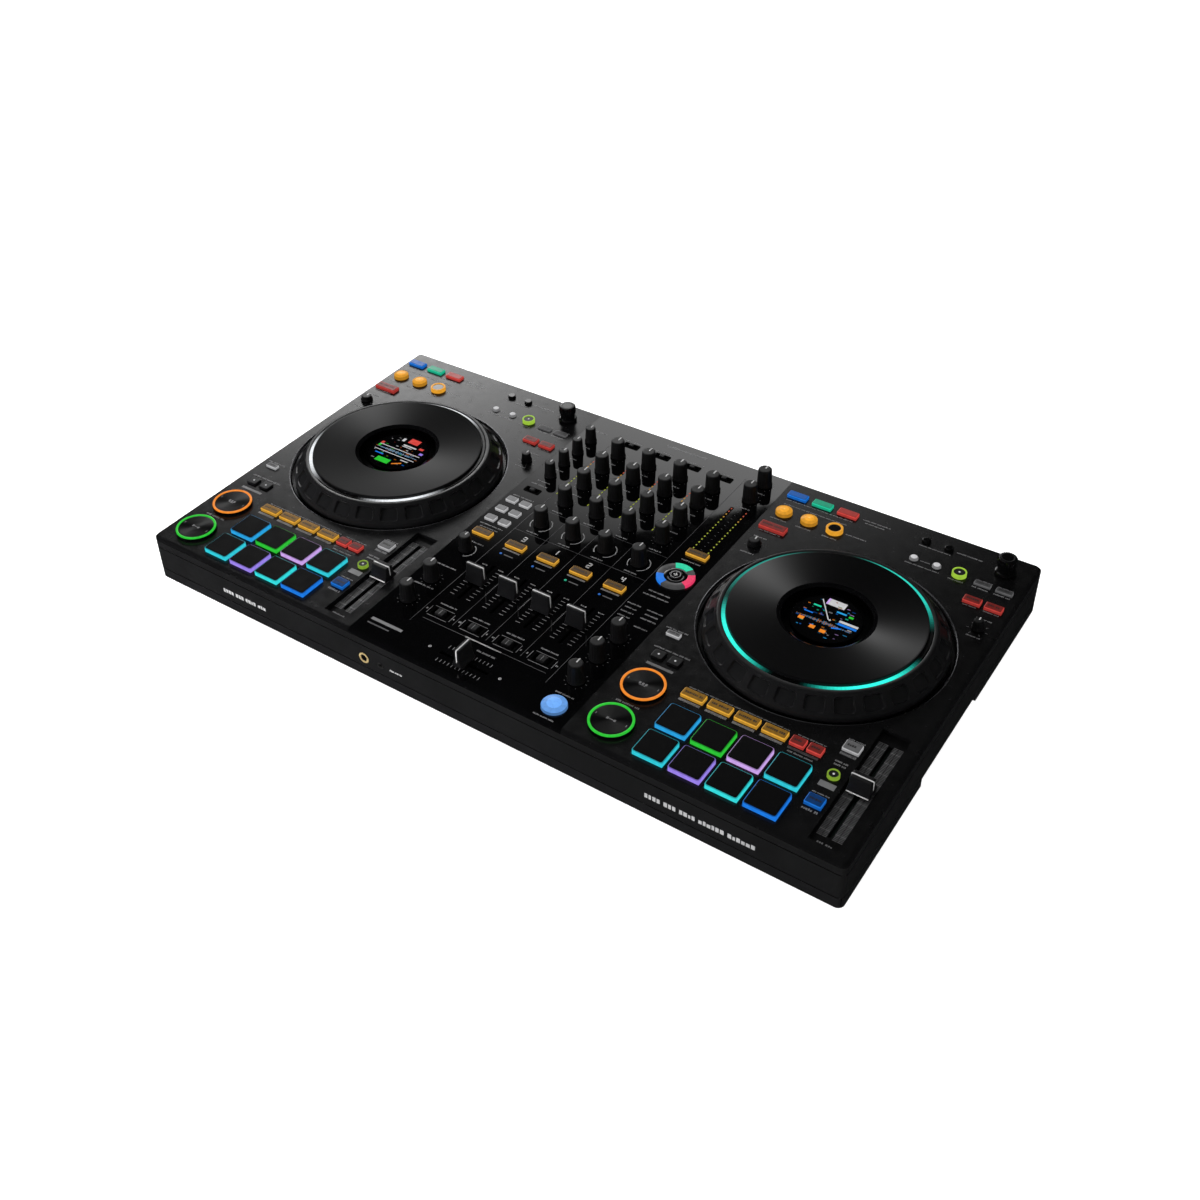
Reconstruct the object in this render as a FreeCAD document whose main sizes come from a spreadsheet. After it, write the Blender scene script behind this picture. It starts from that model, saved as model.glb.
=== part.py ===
import FreeCAD, Part
import math
import os

import Sketcher

# A four-channel DJ controller: two identical decks either side of a mixer, in one desktop case.
# Millimetres, +Z up. The origin is on the surface it stands on, under the middle of the case.
# +X is the player's right and +Y points away from the player.

SIZES = {
    # case
    "plan_width": 716.0,
    "plan_depth": 400.5,
    "plate_top": 53.4,
    "plate_edge": 5.0,
    "skin": 3.0,
    "bevel": 2.6,
    "corner": 6.0,
    "side_wall": 3.0,
    "seam": 1.0,
    "upper_band": 7.0,
    "tray_top": 15.4,
    "tray_sheet": 1.5,
    "foot_height": 5.0,
    "foot_radius": 12.0,
    "grip_length": 114.0,
    "grip_reach": 14.0,
    "grip_roof": 2.0,
    "bay_width": 664.0,
    "bay_depth": 8.0,
    # decks
    "deck_width": 246.6,
    "deck_gap": 0.25,
    "jog_across": 123.3,
    "jog_along": 16.5,
    "jog_hole": 107.3,
    "jog_radius": 104.0,
    "jog_shoulder": 92.5,
    "jog_rise": 20.0,
    "jog_ledge": 17.5,
    "rim_foot": 2.5,
    "rim_round": 0.8,
    "web_drop": 3.0,
    "hub_drop": 9.0,
    "hub_wall": 4.5,
    "plate_radius": 84.2,
    "plate_round": 0.7,
    "dish_radius": 42.0,
    "dish_hole": 38.5,
    "light_width": 3.6,
    "light_depth": 2.0,
    "dimple_count": 26,
    "dimple_width": 17.0,
    "dimple_length": 13.5,
    "dimple_depth": 2.0,
    "well_floor": 6.5,
    "well_sheet": 1.5,
    "display_radius": 31.0,
    "display_rise": 15.0,
    "display_thick": 3.0,
    "neck_radius": 9.0,
    "neck_bore": 6.5,
    # keys, knobs and faders
    "clearance": 0.3,
    "key_foot": 5.4,
    "flange": 1.2,
    "flange_thick": 2.0,
    "pad_side": 28.0,
    "pad_rise": 4.0,
    "shaft_radius": 3.0,
    "shaft_foot": 3.8,
    "knob_lift": 0.8,
    "knob_rise": 19.5,
    "skirt_height": 3.0,
    "cap_lift": 1.6,
    "cap_width": 19.2,
    "cap_length": 10.5,
    "cap_rise": 19.5,
    "stem_thick": 2.0,
    "stem_width": 5.0,
    "slot_gap": 1.6,
    "fader_throw": 48.0,
    "cross_throw": 44.0,
    "tempo_throw": 100.0,
    "tempo_recess": 4.0,
    "board_top": 45.0,
    "board_thick": 1.6,
    "control_height": 4.2,
    "contact_height": 2.0,
}

# Places on a deck: x is counted from the deck's left edge and y from the middle of the case.
PAD_COLUMNS = (74.1, 106.4, 138.6, 170.9)
PAD_ROWS = (-143.3, -177.0)
MODE_COLUMNS = (70.0, 94.4, 118.9, 143.3)
PAGE_COLUMNS = (163.3, 178.1)
MODE_ROW = -111.5
LEFT_COLUMNS = (16.2, 42.2, 68.2)
TRANSPORT_COLUMN = 29.6
CUE_ROW = -123.5
PLAY_ROW = -171.5
RIGHT_COLUMN = 200.8
TEMPO_PLACE = (223.4, -126.5)
TEMPO_SIZE = (24.0, 130.0)
BROWSE_PLACE = (221.6, 173.0)
SPEED_PLACE = (229.0, 89.0)
JOG_ADJUST_PLACE = (15.8, 91.0)

# Rectangular keys of a deck: x, y, width, depth, rise.
DECK_KEYS = [(x, MODE_ROW, 20.5, 9.5, 3.0) for x in MODE_COLUMNS]
DECK_KEYS += [(x, MODE_ROW, 12.3, 9.5, 3.0) for x in PAGE_COLUMNS]
DECK_KEYS += [(x, 177.5, 19.5, 9.0, 3.0) for x in LEFT_COLUMNS]
DECK_KEYS += [(20.6, -84.7, 11.0, 10.0, 2.0), (36.6, -84.7, 11.0, 10.0, 2.0)]
DECK_KEYS += [(18.0, -56.0, 13.0, 6.0, 2.5), (19.1, 121.0, 26.0, 10.0, 3.5)]
DECK_KEYS += [(211.1, 146.5, 15.0, 6.0, 2.0), (230.8, 146.5, 15.0, 6.0, 2.0)]
DECK_KEYS += [(211.9, 120.5, 15.5, 9.0, 3.0), (231.1, 120.5, 15.5, 9.0, 3.0)]
DECK_KEYS += [(RIGHT_COLUMN, -94.0, 14.0, 11.0, 2.5), (RIGHT_COLUMN, -158.5, 14.0, 11.0, 3.0)]

# Round keys of a deck: x, y, radius, rise.
DECK_ROUND_KEYS = [(x, 148.5, 8.0, 5.0) for x in LEFT_COLUMNS]
DECK_ROUND_KEYS += [(145.8, 178.0, 4.0, 3.0), (167.4, 178.0, 4.0, 3.0)]
DECK_ROUND_KEYS += [(145.8, 149.5, 4.0, 3.0), (167.4, 149.5, 4.0, 3.0)]
DECK_ROUND_KEYS += [(188.6, 149.0, 6.5, 4.0), (RIGHT_COLUMN, -127.5, 5.0, 3.0)]
TRANSPORT_RADIUS = 19.0
TRANSPORT_RISE = 4.0

# Places on the mixer: x and y from the middle of the case.
CHANNEL_COLUMNS = (-55.4, -19.5, 16.6, 52.9)
CHANNEL_ROWS = {"trim": 144.0, "high": 115.0, "mid": 83.0, "low": 50.5, "colour": 10.5}
FADER_ROW = -90.0
ASSIGN_ROW = -141.5
CROSSFADER_ROW = -180.0
EDGE_COLUMN = -93.5
MIC_ROWS = (152.0, 128.0, 104.0, 80.0)
KNOB_RADIUS = 7.8
MIXER_KNOBS = {
    "master_level_knob": (91.0, 178.0),
    "booth_level_knob": (91.0, 149.0),
    "effect_select_knob": (92.5, -85.0),
    "effect_time_knob": (91.0, -115.0),
    "effect_depth_knob": (91.0, -147.0),
    "headphone_mix_knob": (-92.5, -108.0),
    "headphone_level_knob": (-92.5, -141.0),
}
SAMPLER_PLACE = (-92.5, -58.0)
# The knobs that share one node: radius and rise.
MIC_KNOB = (6.2, 17.0)
SAMPLER_KNOB = (6.8, 17.0)
SPEED_KNOB = (5.5, 10.0)
JOG_ADJUST_KNOB = (6.5, 6.0)
BROWSE_KNOB = (9.5, 18.0)
TEMPO_CAP = (19.0, 16.0)
TEMPO_CAP_RISE = 11.0
MIXER_KEYS = [(x, y, 11.0, 8.0, 2.5) for x in (-101.5, -85.8) for y in (27.0, 10.0, -7.0)]
MIXER_KEYS += [(x, -30.0, 20.0, 9.0, 3.0) for x in CHANNEL_COLUMNS]
MIXER_KEYS += [(-93.8, -30.0, 20.0, 9.0, 3.0), (91.8, 48.5, 21.0, 9.0, 3.0)]
EFFECT_KEY = (92.5, -180.8, 11.0, 4.0)
SELECTOR_WHEEL = (90.8, 11.7)
SELECTOR_RADIUS = 17.5
SELECTOR_HUB = 6.2
INPUT_SWITCHES = [(x, 167.0) for x in (-54.0, -18.0, 17.0, 53.0)] + [(-94.5, 51.0)]
SWITCH_THROW = 7.0
INPUT_NUB = (5.0, 3.8)
ASSIGN_NUB = (8.5, 7.5)

# Sockets. The rear row is a guess at what such a controller has.
FRONT_JACKS = {"large": (-97.0, 5.6, 3.2, 30.0), "small": (-78.0, 3.4, 1.8, 15.0)}
FRONT_JACK_HEIGHT = 26.1
REAR_HEIGHT = 31.7
COMBO_PLACES = (-300.0, -262.0)
RCA_PLACES = (-222.0, -194.0, -166.0, -138.0, 92.0)
RCA_SPACING = 14.0
USB_PLACES = (-86.0, -56.0)
BOOTH_PLACES = (12.0, 42.0)
OUTPUT_PLACES = (142.0, 182.0)
INLET_PLACE = 240.0
SWITCH_PLACE = 292.0

FEET = [(x, y) for x in (-318.0, 0.0, 318.0) for y in (-165.0, 165.0)]
SCREWS = [(x, y) for x in (-338.0, -120.0, 120.0, 338.0) for y in (-184.0, 176.0)]
SCREWS += [(-338.0, 90.0), (-338.0, -90.0), (338.0, 90.0), (338.0, -90.0)]


class Length:
    """A length that knows its value and the sheet formula it comes from."""

    def __init__(self, number, formula):
        self.number = number
        self.formula = formula

    def mixed(self, other, sign, number):
        return Length(number, f"({self.formula} {sign} {as_length(other).formula})")

    def __add__(self, other):
        return self.mixed(other, "+", self.number + as_length(other).number)

    def __sub__(self, other):
        return self.mixed(other, "-", self.number - as_length(other).number)

    def __mul__(self, other):
        return self.mixed(other, "*", self.number * as_length(other).number)

    def __truediv__(self, other):
        return self.mixed(other, "/", self.number / as_length(other).number)

    def __neg__(self):
        return Length(-self.number, f"(0 - {self.formula})")

    def __radd__(self, other):
        return as_length(other) + self

    def __rsub__(self, other):
        return as_length(other) - self

    def __rmul__(self, other):
        return as_length(other) * self


def as_length(value):
    if isinstance(value, Length):
        return value
    return Length(float(value), f"({float(value)})")


document = FreeCAD.newDocument("dj_controller")
sheet = document.addObject("Spreadsheet::Sheet", "sizes")
for row, (alias, value) in enumerate(SIZES.items(), start=1):
    sheet.set(f"A{row}", alias)
    sheet.set(f"B{row}", str(value))
    sheet.setAlias(f"B{row}", alias)
document.recompute()


class Cells:
    """Reads the sheet: cells.plan_width is the cell with that alias, as a Length."""

    def __getattr__(self, alias):
        return Length(float(sheet.get(alias)), f"sizes.{alias}")


cells = Cells()
nodes = []


# ---- primitives, each bound to the sheet ----------------------------------------------------


def bind(thing, **lengths):
    for path, value in lengths.items():
        thing.setExpression(path, as_length(value).formula)


def seat(thing, x, y, z):
    for axis, value in zip("xyz", (x, y, z)):
        thing.setExpression(f"Placement.Base.{axis}", as_length(value).formula)
    return thing


def box(x, y, z, width, depth, height):
    """A block centred on x and y that stands on z."""
    block = document.addObject("Part::Box", "block")
    bind(block, Length=width, Width=depth, Height=height)
    return seat(block, x - as_length(width) / 2, y - as_length(depth) / 2, z)


def cylinder(x, y, z, radius, height):
    """A round bar along Z that stands on z."""
    bar = document.addObject("Part::Cylinder", "bar")
    bind(bar, Radius=radius, Height=height)
    return seat(bar, x, y, z)


def cone(x, y, z, low_radius, high_radius, height):
    taper = document.addObject("Part::Cone", "taper")
    bind(taper, Radius1=low_radius, Radius2=high_radius, Height=height)
    return seat(taper, x, y, z)


def bar_along_y(x, y, z, radius, length):
    """A round bar from y towards +Y."""
    bar = document.addObject("Part::Cylinder", "bar")
    bind(bar, Radius=radius, Height=length)
    bar.Placement = FreeCAD.Placement(
        FreeCAD.Vector(), FreeCAD.Rotation(FreeCAD.Vector(1, 0, 0), -90)
    )
    return seat(bar, x, y, z)


def join(things):
    if len(things) == 1:
        return things[0]
    union = document.addObject("Part::MultiFuse", "union")
    union.Shapes = things
    return union


def gather(things):
    """Separate solids kept together in one sub-part."""
    bundle = document.addObject("Part::Compound", "bundle")
    bundle.Links = things
    return bundle


def cut(base, tools):
    hollow = document.addObject("Part::Cut", "hollow")
    hollow.Base = base
    hollow.Tool = tools[0] if len(tools) == 1 else gather(tools)
    return hollow


def shared(base, tool):
    """What two solids have in common."""
    overlap = document.addObject("Part::Common", "overlap")
    overlap.Base = base
    overlap.Tool = tool
    return overlap


def rounded(base, radius, wanted):
    """Fillets the edges of base for which wanted(middle, direction) is true."""
    return eased("Part::Fillet", base, radius, wanted)


def bevelled(base, size, wanted):
    return eased("Part::Chamfer", base, size, wanted)


def eased(kind, base, size, wanted):
    document.recompute()
    easing = document.addObject(kind, "easing")
    easing.Base = base
    picked = []
    for number, edge in enumerate(base.Shape.Edges, start=1):
        middle = edge.valueAt((edge.FirstParameter + edge.LastParameter) / 2)
        direction = edge.tangentAt((edge.FirstParameter + edge.LastParameter) / 2)
        if wanted(middle, direction):
            picked.append((number, size.number, size.number))
    easing.Edges = picked
    return easing


def upright_at(reach_x, reach_y, side=0):
    """Picks the upright edges at a plan's corners; side -1 or 1 keeps only that side's."""

    def wanted(middle, direction):
        corner = abs(abs(middle.x) - reach_x) < 0.5 and abs(abs(middle.y) - reach_y) < 0.5
        return corner and abs(direction.z) > 0.9 and side * middle.x >= 0

    return wanted


# ---- sketched bodies ------------------------------------------------------------------------


def origin_plane(body, role):
    return next(part for part in body.Origin.OriginFeatures if part.Role == role)


def outline(body, role, corners):
    """A closed sketch of straight sides on one of the body's origin planes."""
    sketch = body.newObject("Sketcher::SketchObject", "outline")
    sketch.AttachmentSupport = [(origin_plane(body, role), "")]
    sketch.MapMode = "FlatFace"
    corners = [(as_length(across), as_length(up)) for across, up in corners]
    points = [FreeCAD.Vector(across.number, up.number, 0) for across, up in corners]
    count = len(points)
    for index in range(count):
        sketch.addGeometry(Part.LineSegment(points[index], points[(index + 1) % count]), False)
    for index in range(count):
        sketch.addConstraint(Sketcher.Constraint("Coincident", index, 2, (index + 1) % count, 1))
    for index, corner in enumerate(corners):
        for kind, value in zip(("DistanceX", "DistanceY"), corner):
            number = sketch.addConstraint(Sketcher.Constraint(kind, -1, 1, index, 1, value.number))
            sketch.setExpression(f"Constraints[{number}]", value.formula)
    return sketch


def new_body(x, y, z=0):
    body = document.addObject("PartDesign::Body", "body")
    return seat(body, x, y, z)


def turned(x, y, corners):
    """A body turned about the upright axis at x and y, from its half section."""
    body = new_body(x, y)
    sketch = outline(body, "XZ_Plane", corners)
    turn = body.newObject("PartDesign::Revolution", "turn")
    turn.Profile = sketch
    turn.ReferenceAxis = (sketch, ["V_Axis"])
    turn.Angle = 360.0
    return body


def extruded(x, y, role, corners, length, z=0):
    """A body padded both ways from one of its origin planes."""
    body = new_body(x, y, z)
    sketch = outline(body, role, corners)
    pad = body.newObject("PartDesign::Pad", "pad")
    pad.Profile = sketch
    pad.Midplane = True
    bind(pad, Length=length)
    return body


def node(label, thing):
    thing.Label = label
    nodes.append(thing)
    return thing


# ---- levels ---------------------------------------------------------------------------------

half_width = cells.plan_width / 2
half_depth = cells.plan_depth / 2
top = cells.plate_top
mixer_width = cells.plan_width - 2 * cells.deck_width
key_base = top - cells.key_foot
knob_base = top + cells.knob_lift
wall_top = top - cells.plate_edge
TOOL_DEPTH = 12.0


# ---- keys, knobs and faders -----------------------------------------------------------------

cutters = {"left_deck_panel": [], "right_deck_panel": [], "mixer_panel": []}


def square_cap(panel, x, y, width, depth, rise):
    """A rectangular cap and its hole in the panel."""
    gap = cells.clearance * 2
    cutters[panel].append(box(x, y, top - TOOL_DEPTH, width + gap, depth + gap, 2 * TOOL_DEPTH))
    return box(x, y, key_base, width, depth, cells.key_foot + rise)


def rectangular_key(panel, x, y, width, depth, rise):
    """A key cap with the flange that keeps it under the panel."""
    spread = cells.flange * 2
    cap = square_cap(panel, x, y, width, depth, rise)
    flange = box(x, y, key_base, width + spread, depth + spread, cells.flange_thick)
    return [cap, flange]


def round_key(panel, x, y, radius, rise):
    cutters[panel].append(
        cylinder(x, y, top - TOOL_DEPTH, radius + cells.clearance, 2 * TOOL_DEPTH)
    )
    cap = cylinder(x, y, key_base, radius, cells.key_foot + rise)
    flange = cylinder(x, y, key_base, radius + cells.flange, cells.flange_thick)
    return [cap, flange]


def knob(panel, x, y, radius, rise):
    """A tapered knob on a shaft that passes through the panel to its control below."""
    cutters[panel].append(
        cylinder(x, y, top - TOOL_DEPTH, cells.shaft_radius + cells.clearance, 2 * TOOL_DEPTH)
    )
    radius = as_length(radius)
    shaft = cylinder(
        x, y, top - cells.shaft_foot, cells.shaft_radius, cells.shaft_foot + cells.knob_lift + 1
    )
    skirt = cylinder(x, y, knob_base, radius, cells.skirt_height)
    grip_base = knob_base + cells.skirt_height
    grip = cone(x, y, grip_base, radius - 0.6, radius - 1.6, top + rise - grip_base)
    return join([shaft, skirt, grip])


def fader(panel, x, y, along, plan, throw, floor, rise):
    """A fader cap with a narrower finger ridge, on a stem that slides in a slot along X or Y."""
    width, length = plan
    half = as_length(length) / 2
    cap_base = top - floor + cells.cap_lift
    ridge_base = top + rise * 0.6
    corners = [
        (-half, cap_base),
        (half, cap_base),
        (half - 0.8, ridge_base),
        (half * 0.55, top + rise),
        (-half * 0.55, top + rise),
        (-half + 0.8, ridge_base),
    ]
    role = "YZ_Plane" if along == "y" else "XZ_Plane"
    cap = extruded(x, y, role, corners, width)
    stem_plan = (cells.stem_thick, cells.stem_width)
    slot_plan = (cells.stem_thick + cells.slot_gap, throw + cells.stem_width + cells.slot_gap)
    if along == "x":
        stem_plan = stem_plan[::-1]
        slot_plan = slot_plan[::-1]
    stem_foot = top - floor - cells.shaft_foot
    stem = box(x, y, stem_foot, *stem_plan, cells.shaft_foot + cells.cap_lift + 2)
    cutters[panel].append(box(x, y, top - TOOL_DEPTH, *slot_plan, 2 * TOOL_DEPTH))
    return join([cap, stem])


def slide_switch(x, y, nub_width, nub_depth):
    """A nub in a slot of the mixer panel, on a thin plate that covers the slot from below."""
    play = 0.8
    cover_thick = 0.8
    nub_rise = 2.0
    slot_width = nub_width + SWITCH_THROW + play
    cutters["mixer_panel"].append(
        box(x, y, top - TOOL_DEPTH, slot_width, nub_depth + play, 2 * TOOL_DEPTH)
    )
    nub = box(x, y, top - cells.skin - play, nub_width, nub_depth, cells.skin + play + nub_rise)
    cover_base = top - cells.skin - play / 2 - cover_thick
    cover = box(x, y, cover_base, slot_width + SWITCH_THROW, nub_depth + 3, cover_thick)
    return [nub, cover]


# ---- decks ----------------------------------------------------------------------------------


def jog_rim(x, y):
    """The dimpled wheel: sloping outer band, groove for its light, ledge, web and hub."""
    light_inner = cells.plate_radius + cells.clearance
    light_outer = light_inner + cells.light_width
    hub = cells.neck_radius + cells.clearance
    ledge = top + cells.jog_ledge
    corners = [
        (hub, top - cells.hub_drop),
        (hub + cells.hub_wall, top - cells.hub_drop),
        (hub + cells.hub_wall, top - cells.web_drop),
        (cells.jog_radius + cells.clearance, top - cells.web_drop),
        (cells.jog_radius, top + cells.rim_foot),
        (cells.jog_shoulder, ledge - cells.rim_round),
        (cells.jog_shoulder - cells.rim_round, ledge),
        (light_outer, ledge),
        (light_outer, ledge - cells.light_depth),
        (light_inner, ledge - cells.light_depth),
        (light_inner, ledge),
        (light_inner - cells.web_drop, ledge),
        (light_inner - cells.web_drop, top),
        (hub, top),
    ]
    body = turned(x, y, corners)
    # One dimple lies flat on the middle of the slope, and the others follow round the wheel.
    run = SIZES["jog_radius"] - SIZES["jog_shoulder"]
    rise = SIZES["jog_ledge"] - SIZES["rim_round"] - SIZES["rim_foot"]
    lean = math.atan2(rise, run)
    outward = FreeCAD.Vector(math.sin(lean), 0, math.cos(lean))
    down_slope = FreeCAD.Vector(math.cos(lean), 0, -math.sin(lean))
    middle = FreeCAD.Vector(
        SIZES["jog_radius"] - run / 2, 0, SIZES["plate_top"] + SIZES["rim_foot"] + rise / 2
    )
    corner = (
        middle
        - down_slope * (SIZES["dimple_length"] / 2)
        - FreeCAD.Vector(0, SIZES["dimple_width"] / 2, 0)
        - outward * SIZES["dimple_depth"]
    )
    dimple = body.newObject("PartDesign::SubtractiveBox", "dimple")
    bind(
        dimple,
        Length=cells.dimple_length,
        Width=cells.dimple_width,
        Height=cells.dimple_depth * 4,
    )
    turn = FreeCAD.Rotation(FreeCAD.Vector(0, 1, 0), math.degrees(lean))
    dimple.Placement = FreeCAD.Placement(corner, turn)
    document.recompute()
    ring = body.newObject("PartDesign::PolarPattern", "dimples")
    ring.Originals = [dimple]
    ring.Axis = (origin_plane(body, "Z_Axis"), [""])
    ring.Angle = 360.0
    ring.setExpression("Occurrences", cells.dimple_count.formula)
    body.Tip = ring
    return body


def jog_plate(x, y):
    """The touch plate: a flat disc with a dished middle."""
    ledge = top + cells.jog_ledge
    surface = top + cells.jog_rise
    return turned(
        x,
        y,
        [
            (cells.dish_hole, ledge),
            (cells.plate_radius, ledge),
            (cells.plate_radius, surface - cells.plate_round),
            (cells.plate_radius - cells.plate_round, surface),
            (cells.dish_radius, surface),
            (cells.dish_hole, ledge + cells.plate_round),
        ],
    )


def deck_panel(side, left, jog_x):
    """The deck's top sheet with a turned-down edge, a well for the wheel and the tempo recess."""
    label = f"{side}_deck_panel"
    mirror = -1 if side == "left" else 1
    width = cells.deck_width - cells.deck_gap
    middle_x = mirror * (half_width - width / 2)
    blank = box(middle_x, 0, wall_top, width, cells.plan_depth, cells.plate_edge)
    blank = rounded(
        blank,
        cells.corner,
        upright_at(SIZES["plan_width"] / 2, SIZES["plan_depth"] / 2),
    )
    inner = SIZES["plan_width"] / 2 - SIZES["deck_width"]

    def outer_top(middle, direction):
        return abs(middle.z - SIZES["plate_top"]) < 0.1 and abs(abs(middle.x) - inner) > 1

    blank = bevelled(blank, cells.bevel, outer_top)
    inset = cells.side_wall * 2
    pocket = box(
        middle_x, 0, wall_top - 1, width - inset, cells.plan_depth - inset,
        cells.plate_edge - cells.skin + 1,
    )
    folded_sheet = cut(blank, [pocket])
    rim = 2.0
    hub_room = 6.0
    well = cylinder(
        jog_x, cells.jog_along, top - cells.well_floor - cells.well_sheet, cells.jog_hole + rim,
        cells.well_floor + cells.well_sheet - 1,
    )
    tempo_x = left + TEMPO_PLACE[0]
    tempo_width, tempo_length = TEMPO_SIZE
    tray = box(
        tempo_x, TEMPO_PLACE[1], top - cells.tempo_recess - rim, tempo_width + 2 * rim,
        tempo_length + 2 * rim, cells.tempo_recess + 1,
    )
    cutters[label] += [
        cylinder(jog_x, cells.jog_along, top - cells.well_floor, cells.jog_hole, TOOL_DEPTH),
        cylinder(
            jog_x, cells.jog_along, top - TOOL_DEPTH, cells.neck_radius + hub_room, TOOL_DEPTH
        ),
        cone(jog_x, cells.jog_along, top - rim, cells.jog_hole, cells.jog_hole + rim, rim),
        box(
            tempo_x, TEMPO_PLACE[1], top - cells.tempo_recess, tempo_width, tempo_length,
            TOOL_DEPTH,
        ),
    ]
    return cut(join([folded_sheet, well, tray]), cutters[label])


def pad_mat(label, left):
    """Eight pads on one moulded web, as a pad mat is made."""
    across = left + (PAD_COLUMNS[0] + PAD_COLUMNS[-1]) / 2
    along = (PAD_ROWS[0] + PAD_ROWS[-1]) / 2
    span_x = PAD_COLUMNS[-1] - PAD_COLUMNS[0] + SIZES["pad_side"] + 4
    span_y = PAD_ROWS[0] - PAD_ROWS[-1] + SIZES["pad_side"] + 2
    solids = [box(across, along, key_base, span_x, span_y, cells.flange_thick - 0.2)]
    side = cells.pad_side
    for column in PAD_COLUMNS:
        for row in PAD_ROWS:
            solids.append(square_cap(label, left + column, row, side, side, cells.pad_rise))
    return join(solids)


def transport_keys(label, left):
    solids = []
    for row in (CUE_ROW, PLAY_ROW):
        solids += round_key(label, left + TRANSPORT_COLUMN, row, TRANSPORT_RADIUS, TRANSPORT_RISE)
    return join(solids)


def deck_keys(label, left):
    solids = []
    for x, y, width, depth, rise in DECK_KEYS:
        solids += rectangular_key(label, left + x, y, width, depth, rise)
    for x, y, radius, rise in DECK_ROUND_KEYS:
        solids += round_key(label, left + x, y, radius, rise)
    return join(solids)


trim_knobs = []
deck_middles = []
for side in ("left", "right"):
    panel = f"{side}_deck_panel"
    deck_left = -half_width if side == "left" else half_width - cells.deck_width
    jog_x = deck_left + cells.jog_across
    deck_middles.append((deck_left, jog_x))
    node(f"{side}_jog_rim", jog_rim(jog_x, cells.jog_along))
    node(f"{side}_jog_plate", jog_plate(jog_x, cells.jog_along))
    node(f"{side}_pads", pad_mat(panel, deck_left))
    node(f"{side}_transport_keys", transport_keys(panel, deck_left))
    node(f"{side}_deck_keys", deck_keys(panel, deck_left))
    browse_x, browse_y = BROWSE_PLACE
    node(f"{side}_browse_knob", knob(panel, deck_left + browse_x, browse_y, *BROWSE_KNOB))
    tempo_x, tempo_y = TEMPO_PLACE
    node(
        f"{side}_tempo_slider",
        fader(
            panel, deck_left + tempo_x, tempo_y, "y", TEMPO_CAP, cells.tempo_throw,
            cells.tempo_recess, TEMPO_CAP_RISE,
        ),
    )
    for (x, y), sizes in ((SPEED_PLACE, SPEED_KNOB), (JOG_ADJUST_PLACE, JOG_ADJUST_KNOB)):
        trim_knobs.append(knob(panel, deck_left + x, y, *sizes))
    node(panel, deck_panel(side, deck_left, jog_x))


# ---- mixer ----------------------------------------------------------------------------------

pot_places = []
for number, column in enumerate(CHANNEL_COLUMNS, start=1):
    for name, row in CHANNEL_ROWS.items():
        label = f"channel_{number}_{name}_knob"
        node(label, knob("mixer_panel", column, row, KNOB_RADIUS, cells.knob_rise))
        pot_places.append((column, row))
    node(
        f"channel_{number}_fader",
        fader(
            "mixer_panel", column, FADER_ROW, "y", (cells.cap_width, cells.cap_length),
            cells.fader_throw, 0, cells.cap_rise,
        ),
    )
node(
    "crossfader",
    fader(
        "mixer_panel", 0, CROSSFADER_ROW, "x", (cells.cap_width, cells.cap_length),
        cells.cross_throw, 0, cells.cap_rise,
    ),
)
for label, (x, y) in MIXER_KNOBS.items():
    node(label, knob("mixer_panel", x, y, KNOB_RADIUS, cells.knob_rise))
    pot_places.append((x, y))
for row in MIC_ROWS:
    trim_knobs.append(knob("mixer_panel", EDGE_COLUMN, row, *MIC_KNOB))
    pot_places.append((EDGE_COLUMN, row))
trim_knobs.append(knob("mixer_panel", *SAMPLER_PLACE, *SAMPLER_KNOB))
pot_places.append(SAMPLER_PLACE)
node("small_trim_knobs", gather(trim_knobs))

switches = []
for x, y in INPUT_SWITCHES:
    switches += slide_switch(x, y, *INPUT_NUB)
for column in CHANNEL_COLUMNS:
    switches += slide_switch(column, ASSIGN_ROW, *ASSIGN_NUB)
node("slide_switches", join(switches))


def selector_wheel():
    """Four colour segments round a hub key, each its own cap in one round hole."""
    x, y = SELECTOR_WHEEL
    hole = SELECTOR_RADIUS + SIZES["clearance"]
    cutters["mixer_panel"].append(cylinder(x, y, top - TOOL_DEPTH, hole, 2 * TOOL_DEPTH))
    disc = cylinder(x, y, key_base, SELECTOR_RADIUS, cells.key_foot + 2.5)
    gaps = [
        cylinder(x, y, key_base - 1, SELECTOR_HUB + 0.6, 20),
        box(x, y, key_base - 1, 1.2, 3 * SELECTOR_RADIUS, 20),
        box(x, y, key_base - 1, 3 * SELECTOR_RADIUS, 1.2, 20),
    ]
    hub = cylinder(x, y, key_base, SELECTOR_HUB, cells.key_foot + 3.2)
    return [cut(disc, gaps), hub]


mixer_solids = []
for x, y, width, depth, rise in MIXER_KEYS:
    mixer_solids += rectangular_key("mixer_panel", x, y, width, depth, rise)
mixer_solids += round_key("mixer_panel", *EFFECT_KEY)
mixer_solids += selector_wheel()
node("mixer_keys", join(mixer_solids))

mixer_blank = box(0, 0, wall_top, mixer_width, cells.plan_depth, cells.plate_edge)
mixer_reach = SIZES["plan_width"] / 2 - SIZES["deck_width"]


def mixer_ends(middle, direction):
    return abs(middle.z - SIZES["plate_top"]) < 0.1 and abs(abs(middle.x) - mixer_reach) > 1


mixer_blank = bevelled(mixer_blank, cells.bevel, mixer_ends)
mixer_inset = cells.side_wall * 2
mixer_pocket = box(
    0, 0, wall_top - 1, mixer_width - mixer_inset, cells.plan_depth - mixer_inset,
    cells.plate_edge - cells.skin + 1,
)
node("mixer_panel", cut(mixer_blank, [mixer_pocket] + cutters["mixer_panel"]))


# ---- sockets --------------------------------------------------------------------------------

bay_face = half_depth - cells.bay_depth
socket_holes = []
sockets = []


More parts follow.
